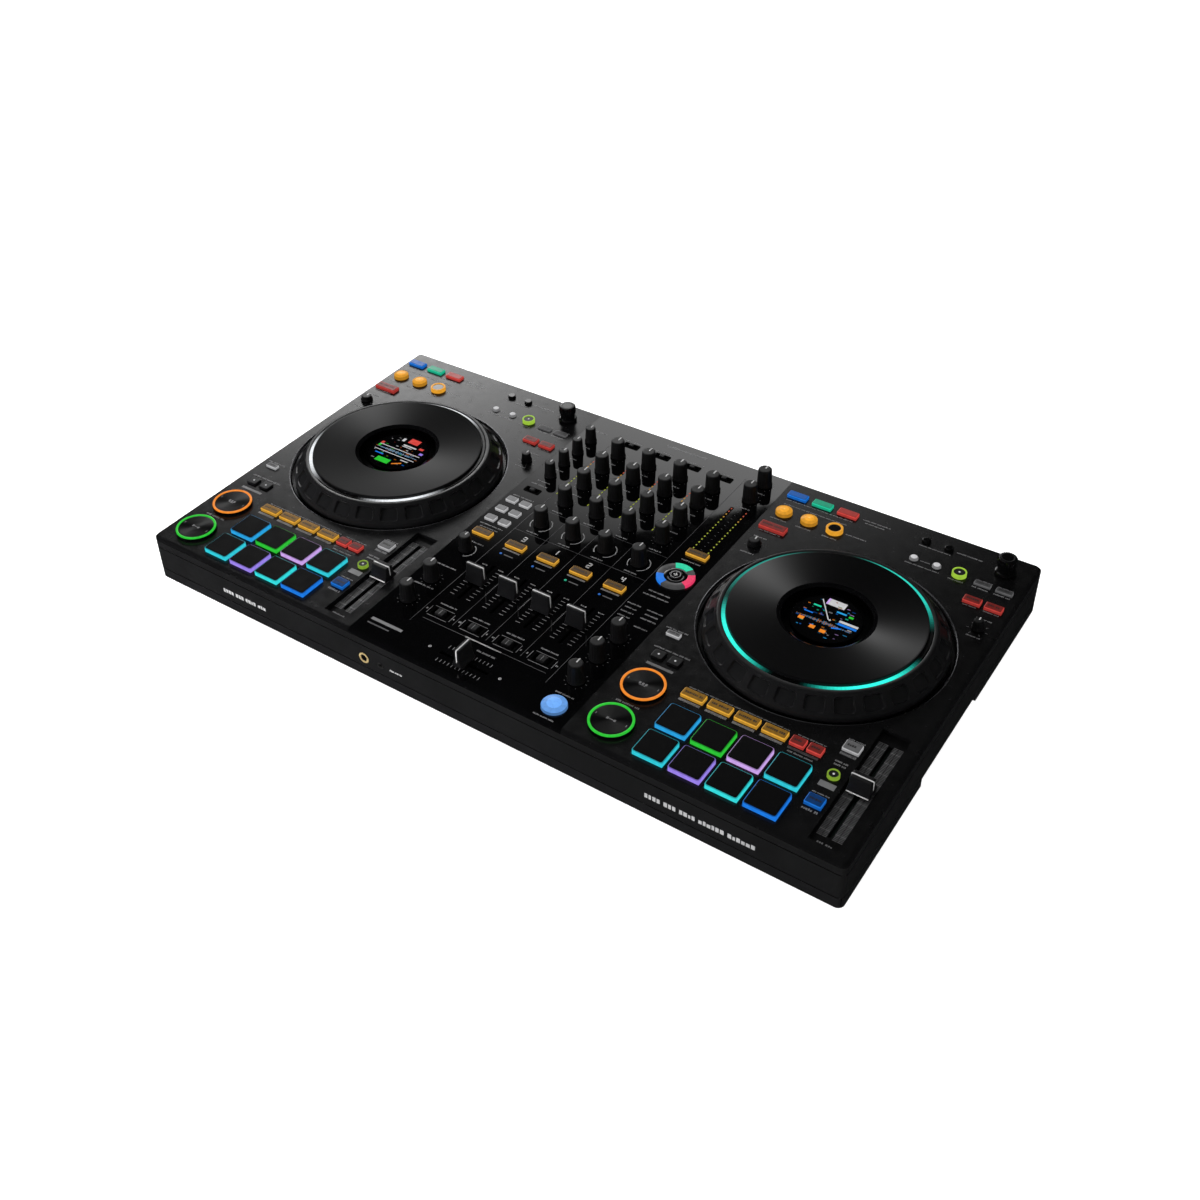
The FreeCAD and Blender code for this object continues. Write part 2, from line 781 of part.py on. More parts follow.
def front_jack(x, ring_radius, bore_radius, length):
    """A jack with a round collar flush with the front wall and its body behind it."""
    z = FRONT_JACK_HEIGHT
    socket_holes.append(bar_along_y(x, -half_depth - 1, z, ring_radius + 0.1, 6))
    collar = bar_along_y(x, -half_depth, z, ring_radius, cells.side_wall + 0.5)
    body = box(
        x, -half_depth + cells.side_wall + length / 2 + 0.8, z - ring_radius - 1,
        2 * ring_radius + 2, length + 1.6, 2 * ring_radius + 2,
    )
    bore = bar_along_y(x, -half_depth - 1, z, bore_radius, length + 1)
    return cut(join([collar, body]), [bore])


def rca_jack(x, z):
    """A phono jack: flange, barrel and the hole for the plug's pin."""
    socket_holes.append(bar_along_y(x, bay_face - 6, z, 4.6, 8))
    body = bar_along_y(x, bay_face - 10, z, 4.4, 10)
    flange = bar_along_y(x, bay_face, z, 5.6, 1.0)
    barrel = bar_along_y(x, bay_face, z, 4.15, cells.bay_depth - 0.6)
    bore = bar_along_y(x, bay_face - 4, z, 1.6, 20)
    return cut(join([body, flange, barrel]), [bore])


def round_socket(x, radius, depth, pins):
    """A round cable socket on a square flange; pins stand in it where it is an output."""
    z = REAR_HEIGHT
    socket_holes.append(bar_along_y(x, bay_face - 6, z, radius + 1.8, 8))
    can = bar_along_y(x, bay_face - depth - 1.5, z, radius + 1.6, depth + 1.5)
    flange = box(x, bay_face + 0.9, z - 12.0, 24.0, 1.8, 24.0)
    hollow = bar_along_y(x, bay_face - depth, z, radius, depth + 10)
    socket = cut(join([can, flange]), [hollow])
    if not pins:
        return socket
    studs = [
        bar_along_y(x + across, bay_face - depth - 0.5, z + up, 1.2, depth - 2)
        for across, up in ((-3.5, 1.5), (3.5, 1.5), (0.0, -3.5))
    ]
    return join([socket] + studs)


def booth_jack(x):
    z = REAR_HEIGHT
    socket_holes.append(bar_along_y(x, bay_face - 6, z, 5.2, 8))
    nut = bar_along_y(x, bay_face, z, 6.4, 2.2)
    collar = bar_along_y(x, bay_face - 4, z, 5.0, 4)
    body = box(x, bay_face - 17.5, z - 6.5, 13, 29, 13)
    bore = bar_along_y(x, bay_face - 28, z, 3.2, 40)
    return cut(join([nut, collar, body]), [bore])


def usb_socket(x):
    z = REAR_HEIGHT
    socket_holes.append(box(x, bay_face - 2, z - 6.0, 12.8, 8, 12.0))
    shell = box(x, bay_face - 7.2, z - 5.6, 12.0, 16, 11.2)
    hollow = box(x, bay_face + 2, z - 4.4, 9.2, 26, 8.8)
    tongue = box(x, bay_face - 6.5, z - 1.6, 5.6, 12, 3.2)
    return join([cut(shell, [hollow]), tongue, box(x, bay_face - 12.2, z - 4.4, 9.2, 2, 8.8)])


def power_inlet(x):
    z = REAR_HEIGHT
    socket_holes.append(box(x, bay_face - 2, z - 10.5, 29.0, 8, 21.0))
    shell = box(x, bay_face - 8, z - 10.2, 28.4, 16, 20.4)
    flange = box(x, bay_face + 0.8, z - 12.2, 33.0, 1.6, 24.4)
    hollow = box(x, bay_face + 4, z - 8.2, 24.4, 36, 16.4)
    pins = [
        box(x + across, bay_face - 8.5, z + up - 2, 2.0, 14, 4.0)
        for across, up in ((-7.0, -1.5), (7.0, -1.5), (0.0, 2.5))
    ]
    wall = box(x, bay_face - 15, z - 8.2, 24.4, 2, 16.4)
    return join([cut(join([shell, flange]), [hollow]), wall] + pins)


ROCKER_PIN_RADIUS = 1.5
ROCKER_PIVOT_DEPTH = 1.0


def bar_along_x(x, y, z, radius, length):
    """A round bar centred on x."""
    bar = document.addObject("Part::Cylinder", "bar")
    bind(bar, Radius=radius, Height=length)
    bar.Placement = FreeCAD.Placement(
        FreeCAD.Vector(), FreeCAD.Rotation(FreeCAD.Vector(0, 1, 0), 90)
    )
    return seat(bar, x - as_length(length) / 2, y, z)


def switch_bezel(x):
    """The housing that the rocker's pin turns in."""
    z = REAR_HEIGHT
    socket_holes.append(box(x, bay_face - 2, z - 10.8, 17.4, 8, 21.6))
    housing = box(x, bay_face - 7, z - 10.6, 17.0, 14, 21.2)
    flange = box(x, bay_face + 0.8, z - 12.2, 20.0, 1.6, 24.4)
    hollow = box(x, bay_face, z - 9.4, 14.8, 24, 18.8)
    bearing = bar_along_x(
        x, bay_face - ROCKER_PIVOT_DEPTH, z, ROCKER_PIN_RADIUS + cells.clearance, 17.0
    )
    return cut(join([housing, flange]), [hollow, bearing])


for x, ring_radius, bore_radius, length in FRONT_JACKS.values():
    sockets.append(front_jack(x, ring_radius, bore_radius, length))
for x in RCA_PLACES:
    for offset in (-RCA_SPACING / 2, RCA_SPACING / 2):
        sockets.append(rca_jack(x, REAR_HEIGHT + offset))
for x in COMBO_PLACES:
    sockets.append(round_socket(x, 9.6, 16.0, pins=False))
for x in OUTPUT_PLACES:
    sockets.append(round_socket(x, 8.2, 14.0, pins=True))
for x in BOOTH_PLACES:
    sockets.append(booth_jack(x))
for x in USB_PLACES:
    sockets.append(usb_socket(x))
sockets.append(power_inlet(INLET_PLACE))
sockets.append(switch_bezel(SWITCH_PLACE))
node("connector_sockets", gather(sockets))

# The rocker is drawn about its pivot and leans to its off side at rest.
ROCKER_LEAN = 6.0
ROCKER_SECTION = [
    (-4.0, -5.0), (2.6, -8.6), (3.6, -8.4), (2.9, 0.0), (3.6, 8.4), (2.6, 8.6), (-4.0, 5.0)
]


def power_rocker():
    """The rocker and the round pin that it turns on."""
    along = bay_face - ROCKER_PIVOT_DEPTH
    cap = extruded(SWITCH_PLACE, along, "YZ_Plane", ROCKER_SECTION, 14.0, REAR_HEIGHT)
    cap.Placement = FreeCAD.Placement(
        cap.Placement.Base, FreeCAD.Rotation(FreeCAD.Vector(1, 0, 0), -ROCKER_LEAN)
    )
    pin = bar_along_x(SWITCH_PLACE, along, REAR_HEIGHT, ROCKER_PIN_RADIUS, 16.4)
    return join([cap, pin])


node("power_switch", power_rocker())


# ---- case -----------------------------------------------------------------------------------


# where the rear bay's sheet is parted, each place midway between two neighbouring sockets
BAY_SEAMS = (-281, -240, -110, -8, 67, 117, 162, 207, 268)


def case_frame():
    """The walls, each its own solid: front, sides, rear corners, the rear sheet's strips and lips."""
    height = wall_top - cells.tray_top
    bay_height = 27.0
    block = box(0, 0, cells.tray_top, cells.plan_width, cells.plan_depth, height)
    reach = (SIZES["plan_width"] / 2, SIZES["plan_depth"] / 2)
    block = rounded(block, cells.corner, upright_at(*reach))
    inset = cells.side_wall * 2
    room = box(
        0, 0, cells.tray_top - 1, cells.plan_width - inset, cells.plan_depth - inset, height + 2
    )
    walls = cut(block, [room])
    rear_depth = cells.bay_depth + cells.side_wall
    bay_block = box(
        0, half_depth - rear_depth / 2, cells.tray_top, cells.bay_width + inset, rear_depth, height
    )
    bay_floor = REAR_HEIGHT - bay_height / 2
    bay = box(
        0, half_depth - cells.bay_depth / 2 + 1, bay_floor, cells.bay_width, cells.bay_depth + 2,
        bay_height,
    )
    grooves = []
    for level in (cells.tray_top, wall_top - cells.upper_band - cells.seam):
        around = box(0, 0, level, cells.plan_width + 4, cells.plan_depth + 4, cells.seam)
        core = box(
            0, 0, level - 1, cells.plan_width - 2 * cells.seam, cells.plan_depth - 2 * cells.seam,
            cells.seam + 2,
        )
        grooves.append(cut(around, [core]))
    ring = cut(join([walls, bay_block]), [bay] + grooves + socket_holes)

    front_depth = cells.corner
    side_depth = cells.plan_depth - front_depth - rear_depth
    side_y = (front_depth - rear_depth) / 2
    rear_y = half_depth - rear_depth / 2
    corner_width = half_width - cells.bay_width / 2
    regions = [box(0, front_depth / 2 - half_depth, 0, cells.plan_width, front_depth, top)]
    for mirror in (-1, 1):
        regions.append(
            box(mirror * half_width, side_y, 0, 4 * cells.side_wall, side_depth, top)
        )
        corner_x = mirror * (half_width - corner_width / 2)
        regions.append(box(corner_x, rear_y, 0, corner_width, rear_depth, top))
    bay_roof = bay_floor + bay_height
    for base, roof in ((0, bay_floor), (bay_roof, top)):
        regions.append(box(0, rear_y, base, cells.bay_width, rear_depth, roof - base))
    half_bay = SIZES["bay_width"] / 2
    edges = (-half_bay, *BAY_SEAMS, half_bay)
    for start, end in zip(edges, edges[1:]):
        middle = (start + end) / 2
        regions.append(box(middle, rear_y, bay_floor, end - start, rear_depth, bay_height))
    walls = [shared(ring, region) for region in regions]
    rib_length = cells.plan_depth - cells.side_wall - rear_depth
    rib_y = (cells.side_wall - rear_depth) / 2
    ribs = [
        box(across, rib_y, wall_top - 6, 5, rib_length, 6)
        for across in (-mixer_width / 2, mixer_width / 2)
    ]
    return gather(walls + ribs)


def bottom_chassis():
    """A shallow tray with screw bosses, vents, and a finger recess under each side."""
    height = cells.tray_top - cells.foot_height
    block = box(0, 0, cells.foot_height, cells.plan_width, cells.plan_depth, height)
    reach = (SIZES["plan_width"] / 2, SIZES["plan_depth"] / 2)
    block = rounded(block, cells.corner, upright_at(*reach))
    inset = cells.tray_sheet * 2
    room = box(
        0, 0, cells.foot_height + cells.tray_sheet, cells.plan_width - inset,
        cells.plan_depth - inset, height,
    )
    tray = cut(block, [room])
    bosses = [cylinder(x, y, cells.foot_height, 4.0, height) for x, y in SCREWS]
    grips = []
    notches = []
    for mirror in (-1, 1):
        middle_x = mirror * (half_width - (cells.grip_reach + 1.5) / 2)
        grips.append(
            box(middle_x, 0, cells.foot_height, cells.grip_reach + 1.5, cells.grip_length + 3, height)
        )
        notch_x = mirror * (half_width - cells.grip_reach / 2 + 1)
        notches.append(
            box(
                notch_x, 0, cells.foot_height - 1, cells.grip_reach + 2, cells.grip_length,
                height - cells.grip_roof + 1,
            )
        )
    holes = [cylinder(x, y, 0, 1.6, 20) for x, y in SCREWS]
    vents = [
        box(mirror * (96 + 7 * step), -10, 0, 3.0, 44.0, 10)
        for mirror in (-1, 1)
        for step in range(12)
    ]
    return cut(join([tray] + bosses + grips), notches + holes + vents)


node("case_frame", case_frame())
node("bottom_chassis", bottom_chassis())
node("rubber_feet", gather([cone(x, y, 0, 11.0, cells.foot_radius, 5.0) for x, y in FEET]))
node(
    "case_screws",
    gather(
        [
            join([cylinder(x, y, 3.4, 2.9, 1.6), cylinder(x, y, 4.6, 1.5, 9.6)])
            for x, y in SCREWS
        ]
    ),
)


# ---- inside ---------------------------------------------------------------------------------


def jog_display(jog_x):
    """The round screen that stands still in the wheel, on its hollow neck from the tray."""
    neck_base = cells.foot_height + cells.tray_sheet
    screen_base = top + cells.display_rise - cells.display_thick
    neck = cylinder(
        jog_x, cells.jog_along, neck_base, cells.neck_radius, screen_base - neck_base + 0.5
    )
    screen = cylinder(
        jog_x, cells.jog_along, screen_base, cells.display_radius, cells.display_thick
    )
    core = cylinder(jog_x, cells.jog_along, neck_base - 1, cells.neck_bore, screen_base - neck_base)
    return cut(join([neck, screen]), [core])


def control(x, y, width=9.0, depth=9.0):
    """The body of a knob's or a fader's control, on its board."""
    return box(x, y, cells.board_top, width, depth, cells.control_height)


def contact(x, y, side=4.5):
    """The switch under a key."""
    return box(x, y, cells.board_top, side, side, cells.contact_height)


def deck_board(deck_left, jog_x):
    """A deck's board with its switches and controls, and the long body of its tempo slider."""
    board_base = cells.board_top - cells.board_thick
    tempo_x = deck_left + TEMPO_PLACE[0]
    blank = box(
        deck_left + cells.deck_width / 2, 0, board_base, cells.deck_width - 18,
        cells.plan_depth - 26, cells.board_thick,
    )
    holes = [
        cylinder(jog_x, cells.jog_along, board_base - 1, 16.0, cells.board_thick + 2),
        box(tempo_x, TEMPO_PLACE[1], board_base - 1, 14.0, 124.0, cells.board_thick + 2),
    ]
    tempo_foot = 36.0
    tempo_body = box(
        tempo_x, TEMPO_PLACE[1], tempo_foot, 12.0, 120.0,
        cells.board_top + cells.control_height - cells.tempo_recess - tempo_foot,
    )
    things = [cut(blank, holes), tempo_body]
    for x, y in (BROWSE_PLACE, SPEED_PLACE, JOG_ADJUST_PLACE):
        things.append(control(deck_left + x, y))
    for x, y, *plan in DECK_KEYS + DECK_ROUND_KEYS:
        things.append(contact(deck_left + x, y))
    for row in (CUE_ROW, PLAY_ROW):
        things.append(contact(deck_left + TRANSPORT_COLUMN, row, 6.0))
    return things


def mixer_board():
    """The mixer's board with its controls and switches."""
    board_base = cells.board_top - cells.board_thick
    things = [box(0, -4, board_base, mixer_width - 14, 360.0, cells.board_thick)]
    things += [control(x, y) for x, y in pot_places]
    things += [control(column, FADER_ROW, 12.0, 70.0) for column in CHANNEL_COLUMNS]
    things.append(control(0, CROSSFADER_ROW, 70.0, 7.0))
    things += [contact(x, y) for x, y, *plan in MIXER_KEYS]
    return things


# What stands on the main board: x, y, side, height.
MAIN_BOARD_PARTS = [(-60, 110, 22, 3), (10, 90, 16, 2.5), (70, 120, 30, 14), (70, 60, 26, 18)]


def main_board():
    """The main board on four posts, with its chips, power supply and cover."""
    base = 11.0
    floor = cells.foot_height + cells.tray_sheet
    things = [box(0, 90, base, 300.0, 150.0, cells.board_thick)]
    for x, y, side, height in MAIN_BOARD_PARTS:
        things.append(box(x, y, base + cells.board_thick, side, side, height))
    for x in (-140, 140):
        for y in (25, 155):
            things.append(cylinder(x, y, floor, 3.0, base - floor))
    return things


def circuit_boards():
    """Every board with what stands on it."""
    things = mixer_board() + main_board()
    for deck_left, jog_x in deck_middles:
        things += deck_board(deck_left, jog_x)
    return gather(things)


node("jog_displays", gather([jog_display(jog_x) for deck_left, jog_x in deck_middles]))
node("circuit_boards", circuit_boards())


# ---- checks and files -----------------------------------------------------------------------

document.recompute()
faults = []
for thing in document.Objects:
    if "Invalid" in thing.State or "Error" in thing.State:
        faults.append(f"{thing.Label} ({thing.TypeId}): {thing.State}")
for thing in nodes:
    if thing.Shape.isNull() or not thing.Shape.isValid() or not thing.Shape.Solids:
        faults.append(f"{thing.Label}: no valid solid")
if len({thing.Label for thing in nodes}) != len(nodes):
    faults.append("two sub-parts share a label")
if faults:
    raise RuntimeError("; ".join(faults))

os.makedirs("parts", exist_ok=True)
for thing in nodes:
    thing.Shape.exportStep(os.path.join("parts", f"{thing.Label}.step"))
    print(thing.Label, len(thing.Shape.Solids), round(thing.Shape.Volume / 1000, 2), "cm3")
print(len(nodes), "sub-parts")
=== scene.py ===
import math
import random

import bmesh
import bpy
from mathutils import Matrix, Vector


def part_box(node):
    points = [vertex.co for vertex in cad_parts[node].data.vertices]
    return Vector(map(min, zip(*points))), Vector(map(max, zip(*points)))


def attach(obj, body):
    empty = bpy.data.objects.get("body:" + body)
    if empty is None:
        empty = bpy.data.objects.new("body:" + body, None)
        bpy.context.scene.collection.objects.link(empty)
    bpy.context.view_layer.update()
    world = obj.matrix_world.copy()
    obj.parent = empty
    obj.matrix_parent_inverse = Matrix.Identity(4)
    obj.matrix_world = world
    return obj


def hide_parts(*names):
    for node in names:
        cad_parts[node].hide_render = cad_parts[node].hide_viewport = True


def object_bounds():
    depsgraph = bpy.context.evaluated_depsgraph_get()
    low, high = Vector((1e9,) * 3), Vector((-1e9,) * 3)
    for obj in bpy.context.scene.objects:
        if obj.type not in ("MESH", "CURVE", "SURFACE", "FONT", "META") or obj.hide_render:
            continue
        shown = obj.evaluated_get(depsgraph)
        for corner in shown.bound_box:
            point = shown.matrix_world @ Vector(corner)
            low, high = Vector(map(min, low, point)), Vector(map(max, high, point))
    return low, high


# A four-channel DJ controller. Sizes below are in millimetres, in the frame's own axes: +X is the
# player's right, +Y points away from the player and the top plates face +Z.

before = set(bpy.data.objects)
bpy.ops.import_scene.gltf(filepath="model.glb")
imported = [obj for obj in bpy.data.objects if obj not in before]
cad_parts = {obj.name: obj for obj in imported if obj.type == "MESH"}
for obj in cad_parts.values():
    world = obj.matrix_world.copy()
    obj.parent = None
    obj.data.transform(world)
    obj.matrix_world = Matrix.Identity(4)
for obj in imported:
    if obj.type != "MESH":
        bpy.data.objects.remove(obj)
cad_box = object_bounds()
scene = bpy.context.scene

MM = 0.001
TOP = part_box("mixer_panel")[1].z / MM
CASE_LOW, CASE_HIGH = (corner / MM for corner in cad_box)
HALF_DEPTH = CASE_HIGH.y
MIXER_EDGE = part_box("mixer_panel")[1].x / MM
DECK_LEFTS = {"left": CASE_LOW.x, "right": MIXER_EDGE}

# ---- layout ---------------------------------------------------------------------------------

# On a deck, x is counted from the deck's left edge.
JOG_X, JOG_Y = 123.3, 16.5
JOG_HOLE = 107.3
JOG_RADIUS = 104.0
JOG_SHOULDER = 92.5
JOG_LEDGE = 17.5
JOG_RISE = 20.0
LIGHT_INNER, LIGHT_OUTER = 84.7, 87.9
DISH_RADIUS, DISH_HOLE = 42.0, 38.5
SCREEN_RADIUS = 31.0
SCREEN_RISE = 15.0
DIMPLES = 26
DIMPLE_WIDTH = 17.0
DIMPLE_LENGTH = 13.8
DIMPLE_TOP_DEPTH = 2.8
DIMPLE_FOOT_DEPTH = 1.2

PAD_COLUMNS = (74.1, 106.4, 138.6, 170.9)
PAD_ROWS = (-143.3, -177.0)
PAD_SIDE = 28.0
MODE_COLUMNS = (70.0, 94.4, 118.9, 143.3)
PAGE_COLUMNS = (163.3, 178.1)
MODE_ROW = -111.5
LEFT_COLUMNS = (16.2, 42.2, 68.2)
TRANSPORT_X = 29.6
CUE_Y, PLAY_Y = -123.5, -171.5
TRANSPORT_RADIUS = 19.0
RIGHT_COLUMN = 200.8
TEMPO_X, TEMPO_Y = 223.4, -126.5
TEMPO_RECESS = 4.0
BROWSE_PLACE = (221.6, 173.0)
SPEED_PLACE = (229.0, 89.0)
JOG_ADJUST_PLACE = (15.8, 91.0)

# On the mixer, x and y are counted from the middle of the case.
CHANNEL_COLUMNS = (-55.4, -19.5, 16.6, 52.9)
CHANNEL_ROWS = {"trim": 144.0, "high": 115.0, "mid": 83.0, "low": 50.5, "colour": 10.5}
CHANNEL_NUMBERS = (3, 1, 2, 4)
FADER_ROW = -90.0
ASSIGN_ROW = -141.5
CROSSFADER_ROW = -180.0
EDGE_COLUMN = -93.5
MIC_ROWS = (152.0, 128.0, 104.0, 80.0)
SAMPLER_PLACE = (-92.5, -58.0)
EFFECT_KEY = (92.5, -180.8)
SELECTOR_WHEEL = (90.8, 11.7)
SELECTOR_RADIUS, SELECTOR_HUB = 17.5, 6.2
MIXER_KNOBS = {
    "master_level_knob": (91.0, 178.0),
    "booth_level_knob": (91.0, 149.0),
    "effect_select_knob": (92.5, -85.0),
    "effect_time_knob": (91.0, -115.0),
    "effect_depth_knob": (91.0, -147.0),
    "headphone_mix_knob": (-92.5, -108.0),
    "headphone_level_knob": (-92.5, -141.0),
}
INPUT_SWITCHES = [(x, 167.0) for x in (-54.0, -18.0, 17.0, 53.0)] + [(-94.5, 51.0)]

CAP_WIDTH, CAP_LENGTH = 19.2, 10.5

# Sockets.
BAY_FACE = HALF_DEPTH - 8.0
REAR_HEIGHT = 31.7
COMBO_PLACES = (-300.0, -262.0)
RCA_PLACES = (-222.0, -194.0, -166.0, -138.0, 92.0)
USB_PLACES = (-86.0, -56.0)
BOOTH_PLACES = (12.0, 42.0)
OUTPUT_PLACES = (142.0, 182.0)
INLET_PLACE = 240.0
SWITCH_PLACE = 292.0
FRONT_JACKS = ((-97.0, 5.6, 3.2), (-78.0, 3.4, 1.8))
FRONT_JACK_HEIGHT = 26.1
# Plain marks on the front wall, in place of any name: x, length and height.
FRONT_LEGENDS = ((-61.0, 13.0, 1.6), (-243.0, 52.0, 4.2), (238.0, 96.0, 4.6))
FEET = [(x, y) for x in (-318.0, 0.0, 318.0) for y in (-165.0, 165.0)]
SCREWS = [(x, y) for x in (-338.0, -120.0, 120.0, 338.0) for y in (-184.0, 176.0)]
SCREWS += [(-338.0, 90.0), (-338.0, -90.0), (338.0, 90.0), (338.0, -90.0)]


# ---- colours --------------------------------------------------------------------------------


def paint(red, green, blue):
    """A colour as a monitor shows it, 0 to 255, turned into light."""
    return tuple((channel / 255) ** 2.2 for channel in (red, green, blue))


def dimmed(colour, factor):
    return tuple(channel * factor for channel in colour)


BLUE = paint(46, 158, 222)
DEEP_BLUE = paint(34, 118, 222)
GREEN = paint(48, 192, 56)
LILAC = paint(200, 160, 232)
CYAN = paint(52, 198, 214)
AQUA = paint(56, 216, 218)
VIOLET = paint(150, 126, 230)
AMBER = paint(236, 172, 62)
DOME_AMBER = paint(244, 168, 52)
ORANGE = paint(236, 134, 46)
RED = paint(214, 74, 68)
PALE = paint(196, 196, 198)
METER_GREEN = paint(176, 188, 62)
LIME = paint(150, 190, 62)
TEAL = paint(42, 206, 160)
SKY = paint(112, 172, 250)
PAD_COLOURS = ((BLUE, GREEN, LILAC, CYAN), (CYAN, VIOLET, AQUA, DEEP_BLUE))


# ---- shapes ---------------------------------------------------------------------------------


def round_ring(x, y, radius, z, count=48, flutes=0, flute_depth=0.0):
    """A circle of points, or a fluted one."""
    ring = []
    for step in range(count):
        angle = 2 * math.pi * step / count
        reach = radius - flute_depth * (0.5 - 0.5 * math.cos(flutes * angle))
        ring.append((x + reach * math.cos(angle), y + reach * math.sin(angle), z))
    return ring


def corner_ring(x, y, width, depth, corner, z, steps=4):
    """The outline of a rectangle with rounded corners."""
    corner = max(min(corner, width / 2 - 0.02, depth / 2 - 0.02), 0.02)
    ring = []
    for quarter, (side_x, side_y) in enumerate(((1, 1), (-1, 1), (-1, -1), (1, -1))):
        middle_x = x + side_x * (width / 2 - corner)
        middle_y = y + side_y * (depth / 2 - corner)
        for step in range(steps + 1):
            angle = math.pi / 2 * (quarter + step / steps)
            ring.append(
                (middle_x + corner * math.cos(angle), middle_y + corner * math.sin(angle), z)
            )
    return ring


def sector_ring(x, y, inner, outer, start, end, inset, z, steps=10):
    """The outline of a piece of a disc between two radii and two angles."""
    ring = []
    for radius, angles in ((outer - inset, (start, end)), (inner + inset, (end, start))):
        trim = inset / radius * (1 if angles[1] > angles[0] else -1)
        first, last = angles[0] + trim, angles[1] - trim
        for step in range(steps + 1):
            angle = first + (last - first) * step / steps
            ring.append((x + radius * math.cos(angle), y + radius * math.sin(angle), z))
    return ring


def eased(base, top, bevel, steps=4):
    """Inset and height of each level of a block with a rounded top edge."""
    levels = [(0.0, base)]
    for step in range(steps + 1):
        angle = math.pi / 2 * step / steps
        levels.append((bevel * (1 - math.cos(angle)), top - bevel + bevel * math.sin(angle)))
    return levels


def smoothstep(value):
    value = min(max(value, 0.0), 1.0)
    return value * value * (3 - 2 * value)


class Shape:
    """Collects closed forms, in millimetres, that become one piece."""

    def __init__(self):
        self.points = []
        self.faces = []
        self.finishes = []
        self.face_finish = []
        self.face_glow = []
        self.place = Matrix.Identity(4)

    def face(self, corners, finish, glow):
        if finish not in self.finishes:
            self.finishes.append(finish)
        self.faces.append(corners)
        self.face_finish.append(self.finishes.index(finish))
        self.face_glow.append(glow or (0.0, 0.0, 0.0))

    def loft(self, rings, finish, glow=None, wrap=False, glows=None):
        """Skins a row of rings; the ends are closed flat, or the last meets the first."""
        if not wrap:
            for end, rest in ((0, rings[0]), (len(rings), rings[-1])):
                middle = sum((Vector(point) for point in rest), Vector()) / len(rest)
                support = [tuple(Vector(point).lerp(middle, 0.1)) for point in rest]
                rings = rings[:end] + [support] + rings[end:] if end == 0 else rings + [support]
        start = len(self.points)
        count = len(rings[0])
        for ring in rings:
            self.points += [tuple(self.place @ Vector(point)) for point in ring]
        spans = len(rings) if wrap else len(rings) - 1
        for level in range(spans):
            low = start + level * count
            high = start + (level + 1) % len(rings) * count
            level_glow = glows[min(level, len(glows) - 1)] if glows else glow
            for step in range(count):
                after = (step + 1) % count
                self.face((low + step, low + after, high + after, high + step), finish, level_glow)
        if not wrap:
            last = start + (len(rings) - 1) * count
            ends = (tuple(reversed(range(start, start + count))), tuple(range(last, last + count)))
            for corners, end_glow in zip(ends, (glow, glows[-1] if glows else glow)):
                self.face(corners, finish, end_glow)
        return self

    def block(self, x, y, width, depth, corner, levels, finish, glow=None, glows=None, steps=4):
        rings = [
            corner_ring(x, y, width - 2 * inset, depth - 2 * inset, corner - inset, z, steps)
            for inset, z in levels
        ]
        return self.loft(rings, finish, glow, glows=glows)

    def disc(self, x, y, radius, levels, finish, glow=None, glows=None, count=48):
        rings = [round_ring(x, y, radius - inset, z, count) for inset, z in levels]
        return self.loft(rings, finish, glow, glows=glows)

    def turned(self, x, y, section, finish, glow=None, count=64):
        """A ring whose closed section is given as radius and height."""
        rings = []
        for step in range(count):
            angle = 2 * math.pi * step / count
            rings.append(
                [(x + r * math.cos(angle), y + r * math.sin(angle), z) for r, z in section]
            )
        return self.loft(rings, finish, glow, wrap=True)

    def tube(self, x, y, inner, outer, base, top, ease, finish, glow=None, count=48):
        section = [
            (inner, base), (outer, base), (outer, top - ease), (outer - 0.3 * ease, top - 0.3 * ease),
            (outer - ease, top), (inner + ease, top), (inner + 0.3 * ease, top - 0.3 * ease),
            (inner, top - ease),
        ]
        return self.turned(x, y, section, finish, glow, count)

    def bar(self, x, y, width, depth, base, top, finish, glow=None):
        """A small upright block with a hair of bevel."""
        ease = min(width, depth, top - base) * 0.15
        levels = [(0, base), (0, top - ease), (ease, top)]
        return self.block(x, y, width, depth, ease * 2, levels, finish, glow, steps=1)

    def mark(self, x, y, width, depth, base, finish, glow=None):
        """A flat printed mark."""
        start = len(self.points)
        for z in (base - 0.05, base + 0.07):
            for side_x, side_y in ((-1, -1), (1, -1), (1, 1), (-1, 1)):
                point = Vector((x + side_x * width / 2, y + side_y * depth / 2, z))
                self.points.append(tuple(self.place @ point))
        for corners in ((3, 2, 1, 0), (4, 5, 6, 7), (0, 1, 5, 4), (1, 2, 6, 5), (2, 3, 7, 6), (3, 0, 4, 7)):
            self.face(tuple(start + corner for corner in corners), finish, glow)
        return self

    def make(self, name, body, slot, replaces=()):
        mesh = bpy.data.meshes.new(name)
        mesh.from_pydata([[value * MM for value in point] for point in self.points], [], self.faces)
        for finish in self.finishes:
            mesh.materials.append(finish)
        mesh.polygons.foreach_set("material_index", self.face_finish)
        mesh.polygons.foreach_set("use_smooth", [True] * len(self.faces))
        glow = mesh.attributes.new("glow", "FLOAT_COLOR", "CORNER")
        values = []
        for polygon in mesh.polygons:
            values += [*self.face_glow[polygon.index], 1.0] * polygon.loop_total
        glow.data.foreach_set("color", values)
        work = bmesh.new()
        work.from_mesh(mesh)
        bmesh.ops.recalc_face_normals(work, faces=work.faces)
        work.to_mesh(mesh)
        work.free()
        mesh.set_sharp_from_angle(angle=math.radians(38))
        piece = bpy.data.objects.new(name, mesh)
        scene.collection.objects.link(piece)
        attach(piece, body)
        if replaces:
            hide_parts(*replaces)
        return piece


# ---- materials ------------------------------------------------------------------------------


def new_material(name):
    material = bpy.data.materials.new(name)
    material.use_nodes = True
    return material, material.node_tree.nodes["Principled BSDF"]


